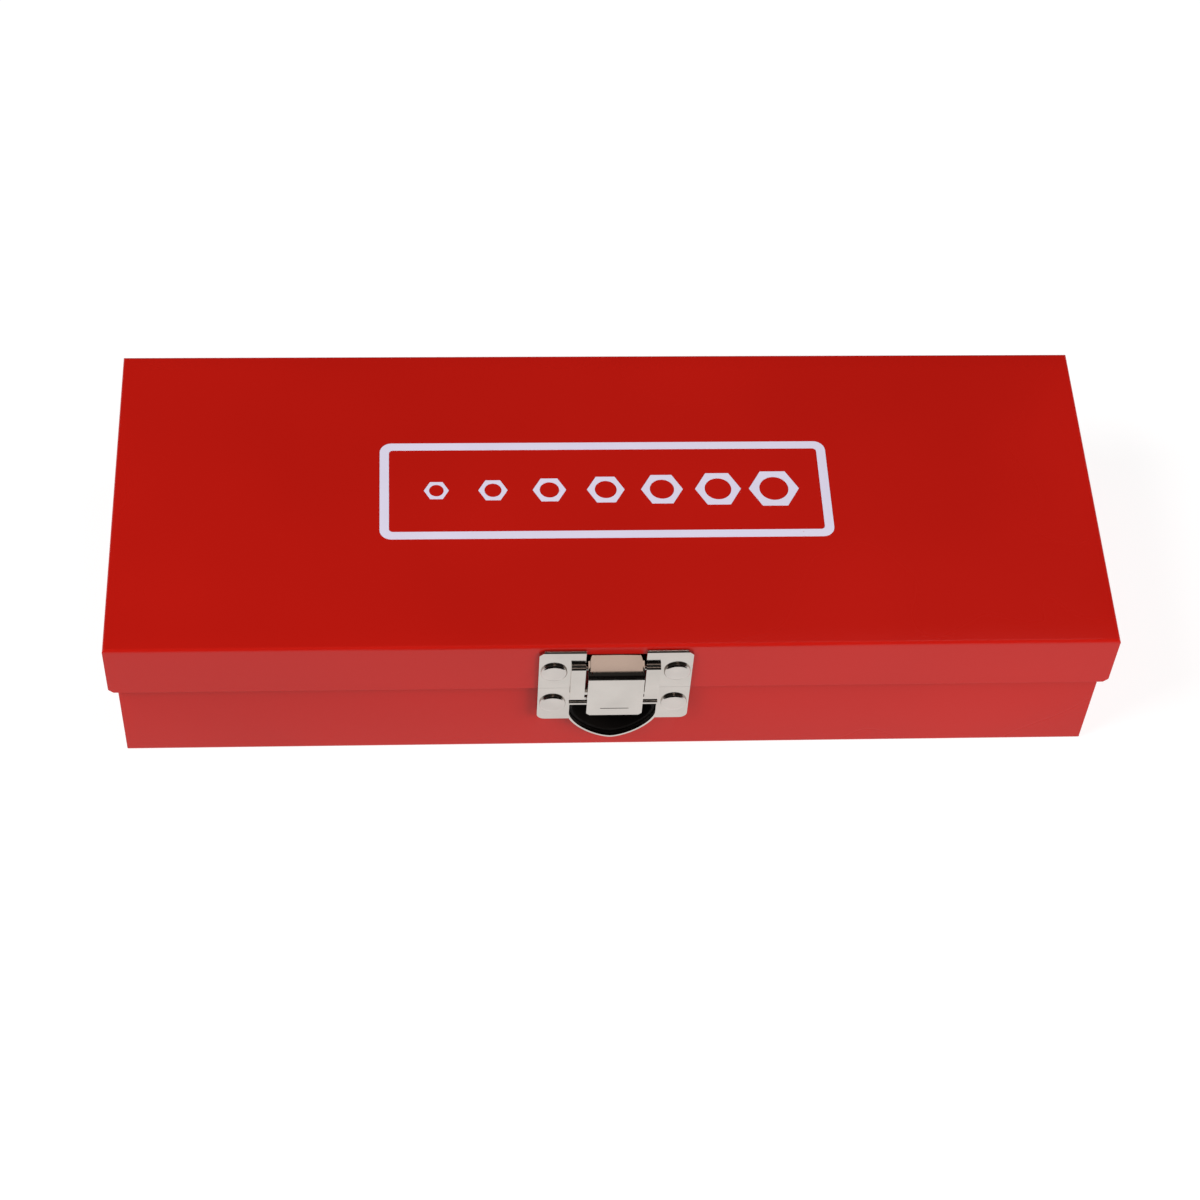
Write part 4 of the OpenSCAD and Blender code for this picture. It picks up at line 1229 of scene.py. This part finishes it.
    def lever(self) -> bpy.types.Object:
        """The lever: a tongue, a round bend, a face with a slit, two ears and a nose.

        Returns:
            The dressed piece.
        """
        half, t, slope = self.lever_half, self.lever_t, math.radians(self.tongue_slope)
        bend_p, face_in = self.lever_out - self.bend_r, self.lever_out - t
        bend, start = (bend_p, self.bend_z), 90 - self.tongue_slope
        outer, inner = arc(bend, self.bend_r, 0, start, 14), arc(bend, self.bend_r - t, start, 0, 14)
        end_z = outer[-1][1] + (outer[-1][0] - self.tongue_back) * math.tan(slope)
        under = (self.tongue_back - t * math.sin(slope), end_z - t * math.cos(slope))
        section = [(self.lever_out, self.lever_foot), *outer, (self.tongue_back, end_z), under, *inner,
                   (face_in, self.lever_foot)]
        sheet = self.along(section, -half, half)
        lever = cut(sheet, [self.slab(self.lever_outline(end_z), -4, self.lever_out + 1)], "INTERSECT")
        root = face_in + 0.01
        ear = [(self.pin_p - 1.2, self.pin_z + 1.2), (0.6, -5.5), (bend_p + 1, -6.8), (root, self.bend_z),
               (root, self.lever_foot + 1.2), (face_in - 1, self.lever_foot + 2.2),
               (face_in - 1, self.hollow_top - 1.1), (self.pin_p + 1.6, self.pin_z - 1.2),
               (self.pin_p, self.pin_z - 1.6), (self.pin_p - 1.2, self.pin_z - 1.1),
               (self.pin_p - 1.6, self.pin_z)]
        for x0, x1 in ((-half + 0.02, -half + t), (half - t, half - 0.02)):
            lever = cut(lever, [self.along(ear, x0, x1)], "UNION")
        nose = self.block(-self.nose_half, self.nose_half, self.nose_z - t, self.nose_z, self.nose_tip,
                          root)
        lever = cut(lever, [nose], "UNION")
        slit = self.block(-self.slit_half, self.slit_half, self.nose_z - 0.05, self.nose_z + 0.22,
                          self.lever_out - self.slit_deep, self.lever_out + 1)
        lever = cut(lever, [self.pin_bore(0.05, half + 1), slit, *self.reliefs(bend)])
        lever.name = "catch_lever"
        return dress(round_edges(lever, self.lever_round, 3), BRIGHT_NICKEL, "lever", ["latch_lever"])

    def lever_outline(self, end_z: float) -> list[Point2]:
        """The lever's outline from the front: a narrower tongue and clipped lower corners.

        Args:
            end_z: the tongue's upper end.

        Returns:
            Points in x and z.
        """
        half, foot, clip = self.lever_half, self.lever_foot, 0.8
        narrow, r = half - 0.5, 1.1
        right = [(half - clip, foot), (half, foot + clip), (half, self.bend_z + 2),
                 (narrow, self.bend_z + 2.4),
                 *arc((narrow - r, end_z - r), r, 0, 90, 6)]
        left = [*arc((-narrow + r, end_z - r), r, 90, 180, 6), (-narrow, self.bend_z + 2.4),
                (-half, self.bend_z + 2), (-half, foot + clip)]
        return [(-half + clip, foot), *right, *left]

    def reliefs(self, bend: Point2) -> list[bpy.types.Object]:
        """Cutters for the round reliefs at both ends of the lever's bend.

        Args:
            bend: the bend's middle, in p and z.

        Returns:
            The cutters.
        """
        a, r, x = math.radians(self.relief_turn), self.relief_r, self.lever_half - self.relief_inset
        y = self.front - bend[0] - self.bend_r * math.cos(a)
        z = self.lid_top + bend[1] + self.bend_r * math.sin(a)
        rod, axis = [(0, -1.2), (r, -1.2), (r, 0.6), (0, 0.6)], (0, -math.cos(a), math.sin(a))
        return [lathed("latch_part", rod, (side * x, y, z), axis, 20) for side in (-1, 1)]

    def rivets(self, name: str, node: str, z: float, body: str) -> bpy.types.Object:
        """Two domed rivets side by side.

        Args:
            name: the piece's name.
            node: the CAD node that they stand for.
            z: their height.
            body: the body that they ride on.

        Returns:
            The dressed piece.
        """
        low, high = corners(node)
        shank = high.y - (self.front - self.plate_t)
        r, h, steps = self.rivet_d / 2, self.rivet_h, 12
        edge, turns = self.rivet_edge, [math.pi / 2 * i / steps for i in range(steps + 1)]
        dome = [(r * math.sin(a) ** self.rivet_power, h * (edge + (1 - edge) * math.cos(a))) for a in turns]
        profile = [(0.0, h), *dome[1:], (r - 0.05, 0.0), (self.shank_r, 0.0), (self.shank_r, -shank),
                   (0.0, -shank)]
        face, height = self.front - self.plate_t, self.lid_top + z
        parts = [lathed("rivet", profile, (side * self.rivet_x, face, height), (0, -1, 0))
                 for side in (-1, 1)]
        pair = joined(name, parts)
        for polygon in pair.data.polygons:
            polygon.use_smooth = True
        pair.data.set_sharp_from_angle(angle=math.radians(50))
        return dress(pair, RIVET_STEEL, body, [node])

    def build(self) -> list[bpy.types.Object]:
        """Makes every piece of the latch.

        Returns:
            The dressed pieces.
        """
        made = [self.lid_plate(), self.body_plate(), self.lever(),
                self.rivets("lid_catch_rivets", "latch_lid_rivets", self.lid_rivet_z, "lid"),
                self.rivets("body_catch_rivets", "latch_body_rivets", self.body_rivet_z, "case_base")]
        # The finger cup's near-black finish is painted dark reflection in the finger recess.
        small = (("latch_pin", "catch_pin", RIVET_STEEL, 0.1),
                 ("catch_spring", "catch_leaf_spring", SPRING_WIRE, 0.05),
                 ("finger_cup", "finger_cup_painted_dark", CUP_PAINTED_DARK, 0.15))
        for node, name, finish, width in small:
            made.append(dress(softened(node, name, width), finish, body_of(node), [node]))
        return made


# ---------- pieces that keep their CAD shape ----------


@dataclass
class Softening:
    """A group of CAD nodes that only need rounded edges and a finish."""

    finish: Finish
    width: float
    nodes: tuple[str, ...]

    def build(self) -> list[bpy.types.Object]:
        """Makes the pieces.

        Returns:
            The dressed pieces.
        """
        return [dress(softened(node, f"{node}_part", self.width), self.finish, body_of(node), [node])
                for node in self.nodes]


GROUPS = (
    Softening(ZINC, 0.15, ("hinge_lid_leaf_left", "hinge_lid_leaf_right", "hinge_body_leaf_left",
                           "hinge_body_leaf_right",
                           "hinge_pin_left", "hinge_pin_right")),
    Softening(RIVET_STEEL, 0.12, ("hinge_lid_rivets", "hinge_body_rivets")),
    Softening(TRAY_PLASTIC, 0.35, ("tray",)),
    Softening(SOCKET_CHROME, 0.15, (*(f"socket_{n}" for n in range(10, 20)), "spark_plug_socket",
                                    "extension_short",
                                    "extension_long")),
    Softening(INSERT_RUBBER, 0.3, ("spark_plug_insert",)),
    Softening(SATIN_CHROME, 0.15, ("ratchet_body", "ratchet_cover", "release_button", "selector_lever")),
    Softening(OXIDE, 0.08, ("ratchet_screws", "drive_gear", "selector_plunger", "pawl", "pawl_pin")),
    Softening(BALL_STEEL, 0.05, ("drive_ball", "extension_short_ball", "extension_long_ball")),
    Softening(SPRING_WIRE, 0.02, ("latch_spring", "extension_short_spring", "extension_long_spring",
                                  "release_spring",
                                  "selector_spring")),
)


# ---------- the studio ----------


@dataclass
class SoftBox:
    """One soft lamp: a glowing rectangle that faces the case."""

    name: str
    place: Point3
    size: tuple[float, float]
    glow: float
    colour: Colour = (1.0, 1.0, 1.0)
    target: Point3 = (0.0, 0.0, 0.02)
    mirrored: bool = True

    def build(self) -> bpy.types.Object:
        """Makes the lamp.

        Returns:
            The lamp object.
        """
        lamp = bpy.data.lights.new(self.name, "AREA")
        lamp.shape = "RECTANGLE"
        lamp.size, lamp.size_y = self.size
        lamp.energy = self.glow * math.pi * self.size[0] * self.size[1]
        lamp.color = self.colour
        made = bpy.data.objects.new(self.name, lamp)
        bpy.context.scene.collection.objects.link(made)
        made.location = self.place
        facing = Vector(self.target) - Vector(self.place)
        made.rotation_mode = "QUATERNION"
        made.rotation_quaternion = facing.to_track_quat("-Z", "Y")
        made.visible_camera = False
        made.visible_glossy = self.mirrored
        return made


@dataclass
class Studio:
    """Pale floor, soft boxes, dim room and camera."""

    floor_half: float = 4.0
    floor_white: Colour = (0.3, 0.3, 0.3)
    floor_glow: float = 0.8
    room: Colour = (0.03, 0.028, 0.026)
    backdrop: Colour = (0.9, 0.9, 0.9)
    boxes: tuple[SoftBox, ...] = (
        SoftBox("key_right", (0.95, -0.6, 0.6), (0.7, 0.7), 7.8, mirrored=False),
        SoftBox("fill_left", (-0.85, -0.3, 0.95), (0.7, 0.7), 9.0, mirrored=False),
        SoftBox("top_right", (0.3, 0.24, 1.1), (0.3, 0.3), 2.6),
        SoftBox("warm_ceiling", (0.06, -0.4, 1.13), (0.3, 0.22), 1.0, (1.0, 0.77, 0.66)),
    )
    card_y: float = -103.0
    card_half: float = 60.0
    card_foot: float = 0.2
    card_tall: float = 60.0
    card_black: Colour = (0.01, 0.009, 0.008)
    camera_place: Point3 = (-48.33, -443.54, 603.45)
    camera_turn: Point3 = (36.398, -2.66, -2.612)
    lens: float = 82.76

    def floor(self) -> bpy.types.Object:
        """The pale floor, which glows a little so that shadows stay faint.

        Returns:
            The floor object.
        """
        h = self.floor_half / MM
        sheet = [(-h, -h, 0), (h, -h, 0), (h, h, 0), (-h, h, 0)]
        floor = add_object("floor", mesh_from("floor", sheet, [(0, 1, 2, 3)]))
        paint = bpy.data.materials.new("floor_white")
        paint.use_nodes = True
        shader = paint.node_tree.nodes["Principled BSDF"]
        shader.inputs["Base Color"].default_value = rgba(self.floor_white)
        shader.inputs["Roughness"].default_value = 0.9
        shader.inputs["Emission Color"].default_value = (1.0, 1.0, 1.0, 1.0)
        shader.inputs["Emission Strength"].default_value = self.floor_glow
        floor.data.materials.append(paint)
        return floor

    def dark_card(self) -> bpy.types.Object:
        """A low black card in front of the case, seen only in reflections.

        It gives the bends of the bright metal their dark bands.

        Returns:
            The card object.
        """
        y, half, foot, tall = self.card_y, self.card_half, self.card_foot, self.card_tall
        sheet = [(-half, y, foot), (half, y, foot), (half, y, tall), (-half, y, tall)]
        card = add_object("dark_card", mesh_from("dark_card", sheet, [(0, 1, 2, 3)]))
        paint = bpy.data.materials.new("card_black")
        paint.use_nodes = True
        shader = paint.node_tree.nodes["Principled BSDF"]
        shader.inputs["Base Color"].default_value = rgba(self.card_black)
        shader.inputs["Roughness"].default_value = 1.0
        shader.inputs["Specular IOR Level"].default_value = 0.0
        card.data.materials.append(paint)
        card.visible_camera = card.visible_shadow = card.visible_diffuse = False
        return card

    def world(self) -> None:
        """A dim room for reflections, pale where it is seen directly."""
        world = bpy.data.worlds.new("room")
        bpy.context.scene.world = world
        world.use_nodes = True
        world.node_tree.nodes.clear()
        w = Wiring(world.node_tree)
        dim = w.add("ShaderNodeBackground", {"Color": rgba(self.room)})
        pale = w.add("ShaderNodeBackground", {"Color": rgba(self.backdrop)})
        seen = w.add("ShaderNodeLightPath").outputs["Is Camera Ray"]
        mix = w.add("ShaderNodeMixShader", {0: seen, 1: dim.outputs[0], 2: pale.outputs[0]})
        w.add("ShaderNodeOutputWorld", {"Surface": mix.outputs[0]})

    def camera(self) -> bpy.types.Object:
        """The camera, above and in front of the case.

        Returns:
            The camera object.
        """
        data = bpy.data.cameras.new("camera")
        data.lens = self.lens
        data.sensor_width = 36.0
        data.clip_start, data.clip_end = 0.01, 20.0
        made = bpy.data.objects.new("camera", data)
        bpy.context.scene.collection.objects.link(made)
        made.location = Vector(self.camera_place) * MM
        made.rotation_euler = Euler([math.radians(a) for a in self.camera_turn], "XYZ")
        bpy.context.scene.camera = made
        return made

    def build(self) -> None:
        """Sets up the floor, lamps, room and camera."""
        self.floor()
        self.dark_card()
        for box in self.boxes:
            box.build()
        self.world()
        self.camera()
        bpy.context.scene.view_settings.view_transform = "Standard"


def main() -> None:
    """Builds the whole set, one sub-assembly after another."""
    logging.basicConfig(level=logging.INFO, format="%(message)s")
    Studio().build()
    case = SheetCase()
    case.lid()
    case.body()
    case.graphic()
    FrontLatch().build()
    for group in GROUPS:
        group.build()


if __name__ == "__main__":
    main()
